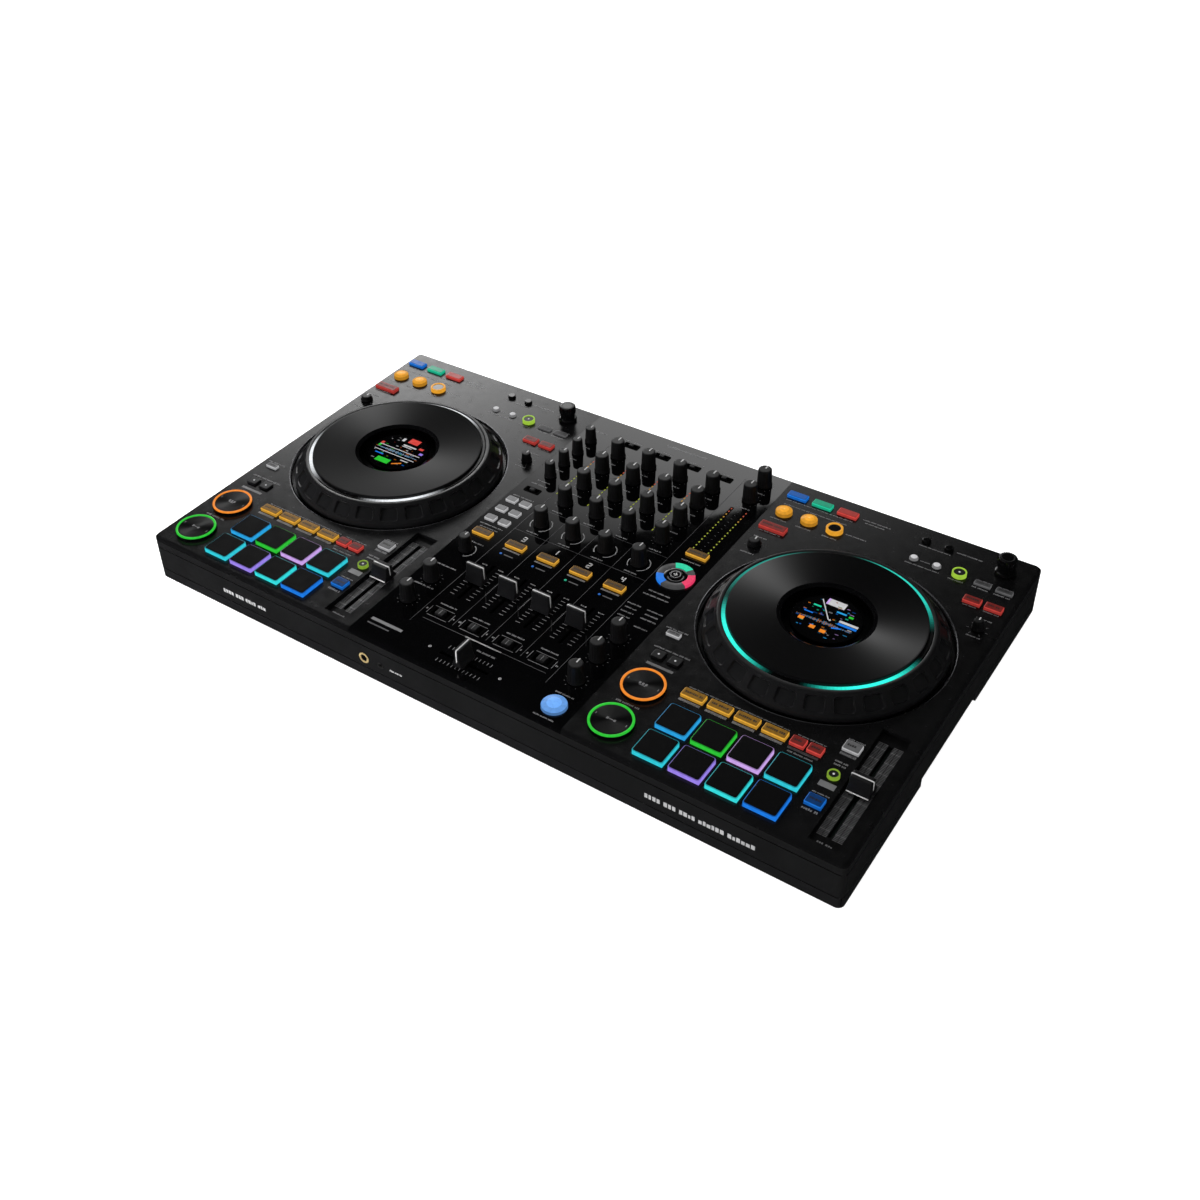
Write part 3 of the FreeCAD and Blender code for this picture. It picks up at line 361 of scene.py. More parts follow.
def add(material, kind):
    return material.node_tree.nodes.new(kind)


def wire(material, source, target):
    material.node_tree.links.new(source, target)


def grain(material, size, detail=3.0):
    """A smooth random grey whose features are size millimetres across, fixed to the piece."""
    place = add(material, "ShaderNodeTexCoord")
    noise = add(material, "ShaderNodeTexNoise")
    noise.inputs["Scale"].default_value = 1 / (size * MM)
    noise.inputs["Detail"].default_value = detail
    wire(material, place.outputs["Object"], noise.inputs["Vector"])
    return noise.outputs["Fac"]


def ranged(material, source, low, high):
    """Stretches the middle of a grey, where smooth noise mostly lies, to low and high."""
    remap = add(material, "ShaderNodeMapRange")
    remap.inputs["From Min"].default_value = 0.3
    remap.inputs["From Max"].default_value = 0.7
    remap.inputs["To Min"].default_value = low
    remap.inputs["To Max"].default_value = high
    wire(material, source, remap.inputs["Value"])
    return remap.outputs["Result"]


def two_tone(material, source, dark, light):
    ramp = add(material, "ShaderNodeValToRGB")
    ramp.color_ramp.elements[0].position = 0.3
    ramp.color_ramp.elements[0].color = (*dark, 1)
    ramp.color_ramp.elements[1].position = 0.7
    ramp.color_ramp.elements[1].color = (*light, 1)
    wire(material, source, ramp.inputs["Fac"])
    return ramp.outputs["Color"]


def bump(material, shader, source, height):
    raise_node = add(material, "ShaderNodeBump")
    raise_node.inputs["Distance"].default_value = height * MM
    raise_node.inputs["Strength"].default_value = 1.0
    wire(material, source, raise_node.inputs["Height"])
    wire(material, raise_node.outputs["Normal"], shader.inputs["Normal"])


def surface(name, colour, roughness, fine=0.35, height=0.006, mottle=0.12, spread=0.04, **fixed):
    """A moulded, painted or metal surface: broad tone drift, fine grain and uneven gloss."""
    material, shader = new_material(name)
    tone = two_tone(
        material, grain(material, 35), dimmed(colour, 1 - mottle), dimmed(colour, 1 + mottle)
    )
    wire(material, tone, shader.inputs["Base Color"])
    gloss = ranged(material, grain(material, 9, 5), roughness - spread, roughness + spread)
    wire(material, gloss, shader.inputs["Roughness"])
    if height:
        bump(material, shader, grain(material, fine, 2), height)
    for socket, value in fixed.items():
        shader.inputs[socket.replace("_", " ")].default_value = value
    return material


def spun(name, colour, roughness, anisotropy, shine=0.5):
    """A turned face, whose fine concentric lathe lines make its shine fan out from the middle."""
    material, shader = new_material(name)
    tone = two_tone(material, grain(material, 35), dimmed(colour, 0.96), dimmed(colour, 1.04))
    wire(material, tone, shader.inputs["Base Color"])
    shader.inputs["Roughness"].default_value = roughness
    shader.inputs["Specular IOR Level"].default_value = shine
    shader.inputs["Anisotropic"].default_value = anisotropy
    shader.inputs["Anisotropic Rotation"].default_value = 0.25
    tangent = add(material, "ShaderNodeTangent")
    tangent.direction_type = "RADIAL"
    tangent.axis = "Z"
    wire(material, tangent.outputs["Tangent"], shader.inputs["Tangent"])
    return material


def lit_material(name, strength, roughness=0.32):
    """Translucent plastic that shines with the colour kept on the piece's faces."""
    material, shader = new_material(name)
    colour = add(material, "ShaderNodeAttribute")
    colour.attribute_name = "glow"
    shade = ranged(material, grain(material, 3), 0.86, 1.1)
    for socket, share in (("Emission Color", 1.0), ("Base Color", 0.05)):
        scale = add(material, "ShaderNodeVectorMath")
        scale.operation = "MULTIPLY"
        weight = add(material, "ShaderNodeMath")
        weight.operation = "MULTIPLY"
        weight.inputs[1].default_value = share
        wire(material, shade, weight.inputs[0])
        wire(material, colour.outputs["Color"], scale.inputs[0])
        wire(material, weight.outputs["Value"], scale.inputs[1])
        wire(material, scale.outputs["Vector"], shader.inputs[socket])
    shader.inputs["Emission Strength"].default_value = strength
    shader.inputs["Specular IOR Level"].default_value = 0.2
    gloss = ranged(material, grain(material, 5), roughness - 0.05, roughness + 0.05)
    wire(material, gloss, shader.inputs["Roughness"])
    bump(material, shader, grain(material, 0.4), 0.004)
    return material


DECK_BLACK = surface(
    "deck_satin_black", (0.0034, 0.0034, 0.0036), 0.24, height=0.006, Specular_IOR_Level=0.26
)
MIXER_BLACK = surface(
    "mixer_polished_black", (0.0012, 0.0012, 0.0014), 0.035, height=0.0003, fine=4.0, spread=0.012
)
CASE_BLACK = surface(
    "case_satin_black", (0.0065, 0.0065, 0.0068), 0.40, height=0.010, Specular_IOR_Level=0.25
)
STEEL_BLACK = surface("chassis_powder_coat", (0.007, 0.007, 0.0075), 0.55, fine=0.8, height=0.05)
RUBBER = surface("rubber_black", (0.016, 0.016, 0.016), 0.75, fine=0.5, height=0.03)
SCREW_STEEL = surface("screw_black_zinc", (0.10, 0.10, 0.11), 0.35, Metallic=1.0)
BOARD = surface("board_solder_mask", (0.004, 0.012, 0.008), 0.45)
WHEEL_BLACK = surface(
    "wheel_satin_black", (0.0058, 0.0058, 0.0062), 0.32, height=0.004, Specular_IOR_Level=0.34
)
PLATE_BLACK = spun("touch_plate_spun", (0.0022, 0.0022, 0.0024), 0.42, 0.95)
GLOSS_BLACK = surface(
    "gloss_black", (0.0016, 0.0016, 0.0018), 0.08, height=0.0004, fine=3.0, spread=0.02
)
TRIM_METAL = surface("well_trim_metal", (0.10, 0.10, 0.105), 0.26, height=0.0, Metallic=1.0)
KEY_FACE = spun("key_face_spun", (0.0012, 0.0012, 0.0013), 0.34, 0.95, 0.2)
PAD_BLACK = surface(
    "pad_top_black", (0.0008, 0.0008, 0.0010), 0.55, height=0.004, Specular_IOR_Level=0.08
)
KNOB_BLACK = surface(
    "knob_soft_black", (0.0034, 0.0034, 0.0036), 0.44, height=0.008, Specular_IOR_Level=0.22
)
KNOB_TOP = surface("knob_top", (0.0050, 0.0050, 0.0053), 0.40, height=0.004, Specular_IOR_Level=0.3)
CAP_BLACK = surface(
    "fader_cap_black", (0.0046, 0.0046, 0.0050), 0.38, height=0.005, Specular_IOR_Level=0.28
)
SLOT_BLACK = surface(
    "dust_strip", (0.0010, 0.0010, 0.0010), 0.9, fine=0.6, height=0.1, Specular_IOR_Level=0.05
)
WHITE_LINE = surface("white_line", (0.52, 0.52, 0.52), 0.45)
PRINT = surface("printed_grey", (0.16, 0.16, 0.163), 0.5)
BRIGHT_PRINT = surface("printed_white", (0.30, 0.30, 0.303), 0.5)
PRINT_DIM = surface("printed_dim_grey", (0.042, 0.042, 0.044), 0.5)
TICK_GREY = surface("printed_tick_grey", (0.075, 0.075, 0.077), 0.5)
KEY_LEGEND = surface("key_legend", (0.004, 0.003, 0.003), 0.5)
GOLD = surface("socket_gold", (0.62, 0.47, 0.22), 0.35, Metallic=0.55)
NICKEL = surface("socket_nickel", (0.55, 0.55, 0.56), 0.22, Metallic=1.0)
BEZEL = surface("screen_bezel", (0.06, 0.06, 0.064), 0.25, height=0.0, Metallic=1.0)
SOCKET_PLASTIC = surface("socket_plastic", (0.010, 0.010, 0.010), 0.4)
SOCKET_RED = surface("socket_red", paint(190, 30, 30), 0.35)
SOCKET_WHITE = surface("socket_white", paint(220, 220, 216), 0.35)
USB_BLUE = surface("socket_tongue", paint(40, 70, 190), 0.4)
LIT = lit_material("lit_key", 1.0)
# Glow for the jog rings; on the left ring it paints a highlight of the rim.
GLOW_AND_PAINTED_HIGHLIGHT_FINISH = lit_material("lamp", 1.5)
SCREEN = lit_material("screen_picture", 1.0, roughness=0.12)


# ---- floor, lights and camera ---------------------------------------------------------------
# Places and sizes of lamps, softboxes and the camera are in metres.


FLOOR_GLOW = 0.84


def build_stage():
    """A pale floor that turns up into a pale wall far behind."""
    reach, bend, wall = 9.0, 2.0, 5.0
    profile = [(0.0, 0.0), (reach - bend, 0.0)]
    for step in range(1, 9):
        angle = math.pi / 2 * step / 8
        profile.append((reach - bend + bend * math.sin(angle), bend * (1 - math.cos(angle))))
    profile.append((reach, wall))
    count = 72
    points = [(0.0, 0.0, 0.0)]
    faces = []
    for level, (radius, z) in enumerate(profile[1:]):
        for step in range(count):
            angle = 2 * math.pi * step / count
            points.append((radius * math.cos(angle), radius * math.sin(angle), z))
            here = 1 + level * count + step
            after = 1 + level * count + (step + 1) % count
            if level == 0:
                faces.append((0, here, after))
            else:
                faces.append((here - count, here, after, after - count))
    mesh = bpy.data.meshes.new("floor")
    mesh.from_pydata(points, [], faces)
    mesh.polygons.foreach_set("use_smooth", [True] * len(faces))
    mesh.materials.append(
        surface(
            "floor_pale", (0.80, 0.80, 0.805), 0.9, fine=30.0, height=0.02, mottle=0.004,
            Emission_Color=(1.0, 1.0, 1.0, 1.0), Emission_Strength=FLOOR_GLOW,
        )
    )
    floor = bpy.data.objects.new("floor", mesh)
    scene.collection.objects.link(floor)
    floor.visible_glossy = False
    floor.visible_shadow = False


def aim(place, target):
    return (Vector(target) - Vector(place)).to_track_quat("-Z", "Y")


def add_light(name, place, target, side, power, spread=180):
    """A square lamp, unseen in mirrors, whose light fans out over spread degrees."""
    light = bpy.data.lights.new(name, "AREA")
    light.size = side
    light.energy = power
    light.spread = math.radians(spread)
    lamp = bpy.data.objects.new(name, light)
    lamp.location = place
    lamp.rotation_mode = "QUATERNION"
    lamp.rotation_quaternion = aim(place, target)
    lamp.visible_glossy = False
    scene.collection.objects.link(lamp)
    return lamp


def build_lights():
    world = bpy.data.worlds.new("studio")
    world.use_nodes = True
    background = world.node_tree.nodes["Background"]
    background.inputs["Color"].default_value = (0.94, 0.97, 1.0, 1)
    background.inputs["Strength"].default_value = 0.012
    scene.world = world
    add_light("ceiling", (0, 0, 3.6), (0, 0, 0), 7.0, 42)
    add_light("left_side", (-2.1, 0.1, 1.5), (0, 0, 0), 1.6, 19)
    add_light("front_left", (-1.3, -1.9, 0.5), (-0.34, -0.2, 0.03), 0.6, 6, spread=50)
    return build_softboxes()


SOFTBOX_HEIGHT = 1.5
# The corners of the rear softbox; the first two are the ends of the edge that shows in the mixer.
REAR_SOFTBOX = ((-0.34, 2.55), (-1.26, 1.40), (-3.3, 1.05), (-3.3, 3.4), (-0.9, 3.4))


def softbox(name, corners, strength, along_y, along_x):
    """A glowing sheet overhead; a ramp is two places along an axis and the brightness at each."""
    mesh = bpy.data.meshes.new(name)
    height = TOP * MM + SOFTBOX_HEIGHT
    mesh.from_pydata([(x, y, height) for x, y in corners], [], [tuple(range(len(corners)))])
    material = bpy.data.materials.new(name)
    material.use_nodes = True
    tree = material.node_tree
    tree.nodes.clear()
    place = tree.nodes.new("ShaderNodeTexCoord")
    split = tree.nodes.new("ShaderNodeSeparateXYZ")
    tree.links.new(place.outputs["Object"], split.inputs["Vector"])
    level = None
    for axis, (dark, full, low, high) in (("Y", along_y), ("X", along_x)):
        ramp = tree.nodes.new("ShaderNodeMapRange")
        ramp.interpolation_type = "SMOOTHSTEP"
        for socket, value in (("From Min", dark), ("From Max", full), ("To Min", low), ("To Max", high)):
            ramp.inputs[socket].default_value = value
        tree.links.new(split.outputs[axis], ramp.inputs["Value"])
        scale = tree.nodes.new("ShaderNodeMath")
        scale.operation = "MULTIPLY"
        scale.inputs[1].default_value = strength if level is None else 1.0
        tree.links.new(ramp.outputs["Result"], scale.inputs[0])
        if level is not None:
            tree.links.new(level, scale.inputs[1])
        level = scale.outputs["Value"]
    glow = tree.nodes.new("ShaderNodeEmission")
    output = tree.nodes.new("ShaderNodeOutputMaterial")
    tree.links.new(level, glow.inputs["Strength"])
    tree.links.new(glow.outputs["Emission"], output.inputs["Surface"])
    mesh.materials.append(material)
    card = bpy.data.objects.new(name, mesh)
    scene.collection.objects.link(card)
    card.visible_camera = False
    card.visible_shadow = False
    return card


def build_softboxes():
    """What the glossy faces mirror: a big softbox behind on the left, and a weaker one above."""
    rear = softbox(
        "rear_softbox", REAR_SOFTBOX, 2.0, (1.36, 2.15, 0.0, 1.0), (-1.35, -2.3, 1.0, 4.2)
    )
    top = softbox(
        "top_softbox", ((-1.3, -0.4), (0.3, -0.4), (0.3, 0.72), (-1.3, 0.72)), 0.8,
        (-0.4, 0.2, 0.0, 1.0), (0.3, -0.8, 0.3, 1.0),
    )
    return rear, top


CAMERA_PLACE = (0.5863, -0.8449, 0.8626)
CAMERA_AZIMUTH, CAMERA_ELEVATION, CAMERA_ROLL = 36.33, 35.77, -2.37


def build_camera():
    data = bpy.data.cameras.new("camera")
    data.sensor_width = 36.0
    data.lens = 42.69
    data.shift_x = 0.041
    data.shift_y = -0.091
    camera = bpy.data.objects.new("camera", data)
    turn = (
        Matrix.Rotation(math.radians(CAMERA_AZIMUTH), 4, "Z")
        @ Matrix.Rotation(math.radians(90 - CAMERA_ELEVATION), 4, "X")
        @ Matrix.Rotation(math.radians(CAMERA_ROLL), 4, "Z")
    )
    camera.matrix_world = Matrix.Translation(CAMERA_PLACE) @ turn
    scene.collection.objects.link(camera)
    scene.camera = camera


scene.view_settings.view_transform = "Standard"
build_stage()
SOFTBOXES = build_lights()
build_camera()


# ---- panels and case ------------------------------------------------------------------------


def repaint(node_name, material):
    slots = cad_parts[node_name].data.materials
    for index in range(len(slots)):
        slots[index] = material


for node_name, material in (
    ("left_deck_panel", DECK_BLACK),
    ("right_deck_panel", DECK_BLACK),
    ("mixer_panel", MIXER_BLACK),
    ("case_frame", CASE_BLACK),
    ("bottom_chassis", STEEL_BLACK),
    ("circuit_boards", BOARD),
):
    repaint(node_name, material)


# ---- jog wheels -----------------------------------------------------------------------------


def mirrored_steps(half, wall, edge_steps=(0.0, 0.25, 0.5, 0.75, 1.0)):
    """Positions across one dimple and half the land each side, close together at its walls."""
    outward = [0.0, wall * 0.35, wall * 0.62, wall * 0.8]
    outward += [wall - 1.1 + 1.3 * step for step in edge_steps]
    outward += [(wall + half) / 2 + 0.2]
    return [-value for value in reversed(outward[1:])] + outward


def dimple_depth(across, along):
    """How far the slope is sunk at a place measured from a dimple's middle."""
    corner = 3.0
    wall = 1.0
    out_x = abs(across) - DIMPLE_WIDTH / 2 + corner
    out_y = abs(along) - DIMPLE_LENGTH / 2 + corner
    outside = math.hypot(max(out_x, 0), max(out_y, 0)) + min(max(out_x, out_y), 0) - corner
    share = min(max(along / DIMPLE_LENGTH + 0.5, 0.0), 1.0)
    depth = DIMPLE_FOOT_DEPTH + (DIMPLE_TOP_DEPTH - DIMPLE_FOOT_DEPTH) * share
    return depth * smoothstep(-outside / wall)


def jog_rim(side, x):
    run = JOG_RADIUS - JOG_SHOULDER
    rise = JOG_LEDGE - 0.8 - 2.5
    slope = math.hypot(run, rise)
    inward = Vector((-rise / slope, -run / slope))
    pitch = 2 * math.pi / DIMPLES
    middle_radius = JOG_RADIUS - run / 2
    half_pitch = pitch * middle_radius / 2
    across_steps = mirrored_steps(half_pitch, DIMPLE_WIDTH / 2) + [half_pitch]
    along_steps = [-slope / 2] + mirrored_steps(slope / 2, DIMPLE_LENGTH / 2) + [slope / 2]
    before = [(104.35, -3.0), (104.35, 1.6), (104.2, 2.2)]
    after = [(92.1, 17.1), (91.5, 17.42), (90.8, JOG_LEDGE), (88.6, JOG_LEDGE), (88.2, 17.3)]
    after += [(88.1, 15.4), (84.5, 15.4), (84.5, JOG_LEDGE), (81.5, JOG_LEDGE), (81.5, 0.0)]
    after += [(9.3, 0.0), (9.3, -9.0), (13.8, -9.0), (13.8, -3.0)]
    rings = []
    for number in range(DIMPLES):
        for across in across_steps:
            angle = pitch * number + across / middle_radius
            section = list(before)
            for along in along_steps:
                share = (along + slope / 2) / slope
                depth = dimple_depth(across, along)
                section.append(
                    (
                        JOG_RADIUS - run * share + inward.x * depth,
                        2.5 + rise * share + inward.y * depth,
                    )
                )
            section += after
            rings.append(
                [
                    (x + r * math.cos(angle), JOG_Y + r * math.sin(angle), TOP + z)
                    for r, z in section
                ]
            )
    rim = Shape()
    rim.loft(rings, WHEEL_BLACK, wrap=True)
    rim.make(f"{side}_jog_rim_moulding", f"{side}_jog_wheel", "wheel_black", [f"{side}_jog_rim"])


def ring_glow_and_painted_highlight(side, x, colour, sectors):
    """The glowing ring: on the right deck the ring's own teal light, on the left a white glow that is a
    painted highlight of the rim; each sector is a middle angle, a half width in degrees and a strength.
    """
    count = 180
    rings = []
    glows = []
    section = [(LIGHT_INNER, 15.6), (LIGHT_OUTER, 15.6), (LIGHT_OUTER, 17.3), (LIGHT_OUTER - 0.5, 17.7)]
    section += [(LIGHT_INNER + 0.5, 17.7), (LIGHT_INNER, 17.3)]
    for step in range(count):
        angle = 2 * math.pi * step / count
        rings.append(
            [(x + r * math.cos(angle), JOG_Y + r * math.sin(angle), TOP + z) for r, z in section]
        )
        strength = 0.0
        for middle, half, power in sectors:
            off = abs((math.degrees(angle) - middle + 180) % 360 - 180)
            strength += power * smoothstep(1.25 - off / half)
        glows.append(dimmed(colour, strength))
    light = Shape()
    light.loft(rings, GLOW_AND_PAINTED_HIGHLIGHT_FINISH, wrap=True, glows=glows)
    light.make(f"{side}_jog_ring_glow_and_painted_highlight", f"{side}_jog_wheel", "key_translucent")


def jog_plate(side, x):
    plate = Shape()
    plate.turned(
        x,
        JOG_Y,
        [
            (DISH_RADIUS, TOP + JOG_LEDGE), (84.2, TOP + JOG_LEDGE), (84.2, TOP + 19.2),
            (84.0, TOP + 19.65), (83.4, TOP + 19.95), (82.8, TOP + JOG_RISE),
            (DISH_RADIUS + 0.6, TOP + JOG_RISE), (DISH_RADIUS, TOP + 19.9),
        ],
        PLATE_BLACK,
        count=180,
    )
    plate.turned(
        x,
        JOG_Y,
        [
            (DISH_HOLE, TOP + JOG_LEDGE), (DISH_RADIUS + 0.1, TOP + JOG_LEDGE),
            (DISH_RADIUS + 0.1, TOP + 19.9), (DISH_RADIUS - 0.4, TOP + 19.7), (DISH_HOLE, TOP + 17.9),
        ],
        GLOSS_BLACK,
        count=120,
    )
    return plate.make(
        f"{side}_touch_plate", f"{side}_jog_wheel", "plate_black", [f"{side}_jog_plate"]
    )


def jog_screen(x):
    """The still round screen on its neck, with a metal bezel."""
    screen = Shape()
    z = TOP + SCREEN_RISE
    screen.turned(x, JOG_Y, [(6.5, 6.5), (9.0, 6.5), (9.0, z - 2.8), (6.5, z - 2.8)], SOCKET_PLASTIC)
    screen.disc(x, JOG_Y, SCREEN_RADIUS - 0.6, eased(z - 3.0, z - 0.25, 0.2), GLOSS_BLACK, count=96)
    screen.tube(x, JOG_Y, SCREEN_RADIUS - 0.9, SCREEN_RADIUS, z - 3.0, z + 0.15, 0.3, BEZEL, count=96)
    return screen


SCREEN_PICTURES = {
    # Colour, x, y, width, depth, turn in degrees, measured from the screen's middle.
    "left": (
        (RED, 4, 22, 12, 8, 0), (PALE, -8, 20, 3, 5, 0), (PALE, 5, 13, 16, 1.6, 0),
        (PALE, 3, 10.4, 12, 0.9, 0), (RED, -24, 6, 3, 3, 0), (RED, 18, 15, 5, 3, 0),
        (GREEN, -24, 1, 3, 3, 0), (VIOLET, 23, 8, 4, 3, 0), (PALE, 0, 3, 50, 0.8, 0),
        (PALE, 0, -6, 50, 0.8, 0), (GREEN, -4, -19, 16, 7, 0), (ORANGE, 12, -17, 10, 1.4, 35),
        (PALE, 16, -10, 9, 1.2, 0), (DEEP_BLUE, -15, -11, 10, 1.4, 0),
    ),
    "right": (
        (PALE, 0, 22, 15, 8, 0), (LILAC, -8.4, 22, 1.8, 8, 0), (PALE, -6, 11, 27, 0.9, -55),
        (TEAL, -14, 12, 7, 1.8, 0), (BLUE, 8, 13, 9, 1.8, 0), (GREEN, 17, 12, 4, 2.4, 0),
        (PALE, 19, 3, 17, 2.6, 0), (DEEP_BLUE, 19, -0.5, 17, 2.6, 0), (ORANGE, -19, -9, 5, 4, 0),
        (ORANGE, -6, -15, 5, 4, 0), (ORANGE, 4, -16, 5, 4, 0), (DEEP_BLUE, 12, -7, 8, 1.4, 20),
        (PALE, 3, 0, 1.8, 1.8, 45), (DEEP_BLUE, -17, 1, 8, 1.2, 0),
    ),
}
SCREEN_SPECKS = {
    "left": (RED, PALE, PALE, GREEN, DEEP_BLUE, ORANGE),
    "right": (BLUE, DEEP_BLUE, TEAL, PALE, LILAC, ORANGE),
}
WAVE_COLOURS = {"left": (PALE, BLUE), "right": (ORANGE, BLUE)}


def screen_picture(screen, side, x):
    z = TOP + SCREEN_RISE - 0.25
    for number, (colour, across, along, width, depth, turn) in enumerate(SCREEN_PICTURES[side]):
        screen.place = Matrix.Translation((x + across, JOG_Y + along, z)) @ Matrix.Rotation(
            math.radians(turn), 4, "Z"
        )
        screen.mark(0, 0, width, depth, 0.01 * number, SCREEN, colour)
    screen.place = Matrix.Identity(4)
    chance = random.Random(11 if side == "left" else 23)
    for _ in range(54):
        turn = chance.uniform(0, 2 * math.pi)
        reach = 27 * math.sqrt(chance.uniform(0.02, 0.9))
        screen.mark(
            x + reach * math.cos(turn), JOG_Y + reach * math.sin(turn), chance.uniform(0.8, 4.0),
            chance.choice((0.7, 0.9, 1.3)), z, SCREEN,
            dimmed(chance.choice(SCREEN_SPECKS[side]), chance.uniform(0.12, 0.6)),
        )
    wave_low = {"left": -1.5, "right": -5.5}[side]
    for step in range(56):
        across = -25 + step * 50 / 55
        tall = chance.uniform(0.6, 5.0) * (1 - abs(across) / 30)
        colour = WAVE_COLOURS[side][step % 2]
        screen.mark(x + across, JOG_Y + wave_low, 0.55, tall, z + 0.02, SCREEN, dimmed(colour, 0.6))


def well_trim(side, x):
    """The bright-edged trim round the wheel's opening in the deck."""
    trim = Shape()
    section = [
        (JOG_HOLE, TOP - 3.0), (JOG_HOLE + 2.6, TOP - 3.0), (JOG_HOLE + 2.9, TOP + 0.02),
        (JOG_HOLE + 2.4, TOP + 0.16), (JOG_HOLE + 1.8, TOP + 0.02), (JOG_HOLE + 0.25, TOP - 1.6),
        (JOG_HOLE, TOP - 2.0),
    ]
    trim.turned(x, JOG_Y, section, TRIM_METAL, count=180)
    trim.make(f"{side}_well_trim", "case", "satin_case")


# Colour and sectors of each jog ring: the left ring's white glow is a painted highlight of the rim, not a
# lamp; the right ring's teal is the ring's own light, brighter and dimmer by sector.
RING_GLOWS_AND_PAINTED_HIGHLIGHTS = {
    "left": (paint(232, 236, 240), ((218, 26, 0.7), (312, 24, 0.8), (84, 24, 0.6))),
    "right": (paint(48, 226, 204), ((228, 30, 0.9), (318, 30, 1.0), (60, 34, 0.6), (158, 32, 0.25))),
}
# Watts of the lamp that makes the shine on each touch plate, and its place across and along in
# metres.
PLATE_LAMPS = {"left": (12, (-2.68, 2.38)), "right": (13, (-1.34, 2.38))}


def light_plates(plates, screens):
    """Gives each touch plate a lamp of its own, which makes a fan-shaped shine.

    The softboxes leave out the plates and the screens, which would mirror them as a glare.
    """
    shut_out = bpy.data.collections.new("plates_shut_out")
    for side, plate in plates.items():
        power, (x, y) = PLATE_LAMPS[side]
        centre = ((DECK_LEFTS[side] + JOG_X) * MM, JOG_Y * MM, TOP * MM)
        lamp = add_light(f"{side}_plate_lamp", (x, y, 1.55), centre, 0.3, power)
        lamp.visible_glossy = True
        only = bpy.data.collections.new(f"{side}_plate_only")
        only.objects.link(plate)
        lamp.light_linking.receiver_collection = only
        shut_out.objects.link(plate)
    for screen in screens:
        shut_out.objects.link(screen)
    for kept_off in shut_out.collection_objects:
        kept_off.light_linking.link_state = "EXCLUDE"
    for card in SOFTBOXES:
        card.light_linking.receiver_collection = shut_out


def build_jogs():
    plates = {}
    screens = []
    for side, left in DECK_LEFTS.items():
        x = left + JOG_X
        jog_rim(side, x)
        plates[side] = jog_plate(side, x)
        ring_glow_and_painted_highlight(side, x, *RING_GLOWS_AND_PAINTED_HIGHLIGHTS[side])
        well_trim(side, x)
        screen = jog_screen(x)
        screen_picture(screen, side, x)
        replaced = ["jog_displays"] if side == "left" else ()
        screens.append(screen.make(f"{side}_screen", "case", "screen_glass", replaced))
    light_plates(plates, screens)


build_jogs()


# ---- pads and keys --------------------------------------------------------------------------


def words(shape, x, y, length, height=1.5, finish=None, level=None):
    """A line of small marks grouped like words, centred on x and y; it spells nothing."""
    finish = finish or PRINT
    level = TOP if level is None else level
    chance = random.Random(round(x * 7 + y * 13) * 31 + 1)
    across = x - length / 2
    left_in_word = chance.randint(3, 7)
    while across < x + length / 2 - height * 0.3:
        width = height * chance.uniform(0.42, 0.72)
        if left_in_word == 0:
            across += height * 0.5
            left_in_word = chance.randint(3, 7)
            continue
        tall = height * chance.choice((1.0, 1.0, 0.8))
        shape.mark(across + width / 2, y - (height - tall) / 2, width, tall, level, finish)
        across += width + height * 0.22
        left_in_word -= 1


def build_pads(side, left):
    pads = Shape()
    across = left + (PAD_COLUMNS[0] + PAD_COLUMNS[-1]) / 2
    along = (PAD_ROWS[0] + PAD_ROWS[-1]) / 2
    span_x = PAD_COLUMNS[-1] - PAD_COLUMNS[0] + PAD_SIDE + 2
    span_y = PAD_ROWS[0] - PAD_ROWS[-1] + PAD_SIDE + 2
    pads.block(across, along, span_x, span_y, 2, eased(TOP - 5.4, TOP - 3.8, 0.3), PAD_BLACK)
    for row, colours in zip(PAD_ROWS, PAD_COLOURS):
        for column, colour in zip(PAD_COLUMNS, colours):
            x = left + column
            glows = [colour] * 3 + [dimmed(colour, 0.55)] * 4
            pads.block(
                x, row, PAD_SIDE, PAD_SIDE, 2.4, eased(TOP - 4.0, TOP + 3.9, 0.8), LIT, colour, glows
            )
            pads.block(x, row, 26.5, 26.5, 1.8, eased(TOP + 3.2, TOP + 4.2, 0.35), PAD_BLACK)
    pads.make(f"{side}_lit_pads", f"{side}_pads", "pad_rubber", [f"{side}_pads"])


def transport_key(side, left, name, row, colour, replaces):
    """A round key with a dark spun face in a lit ring."""
    x = left + TRANSPORT_X
    key = Shape()
    key.tube(x, row, 16.9, TRANSPORT_RADIUS, TOP - 4.0, TOP + 2.6, 0.2, PAD_BLACK, count=72)
    key.tube(x, row, 16.9, TRANSPORT_RADIUS, TOP + 2.6, TOP + 4.0, 0.6, LIT, colour, count=72)
    key.disc(x, row, 16.8, eased(TOP - 4.0, TOP + 3.5, 0.5), KEY_FACE, count=72)
    for offset in (-3.4, 3.4) if name == "play" else (-3.0, 0.0, 3.0):
        key.bar(x + offset, row, 1.8, 2.4, TOP + 3.4, TOP + 3.6, PRINT)
    key.bar(x, row - 2.0 if name == "cue" else row, 6.0, 0.6, TOP + 3.4, TOP + 3.6, PRINT)
    for reach, turn in ((14.2, 0.0), (14.2, math.pi)):
        key.bar(
            x + reach * math.cos(turn), row + reach * math.sin(turn), 0.7, 2.2,
            TOP + 3.4, TOP + 3.6, PRINT,
        )
    key.make(f"{side}_{name}_key", f"{side}_transport_keys", "transport_black", replaces)


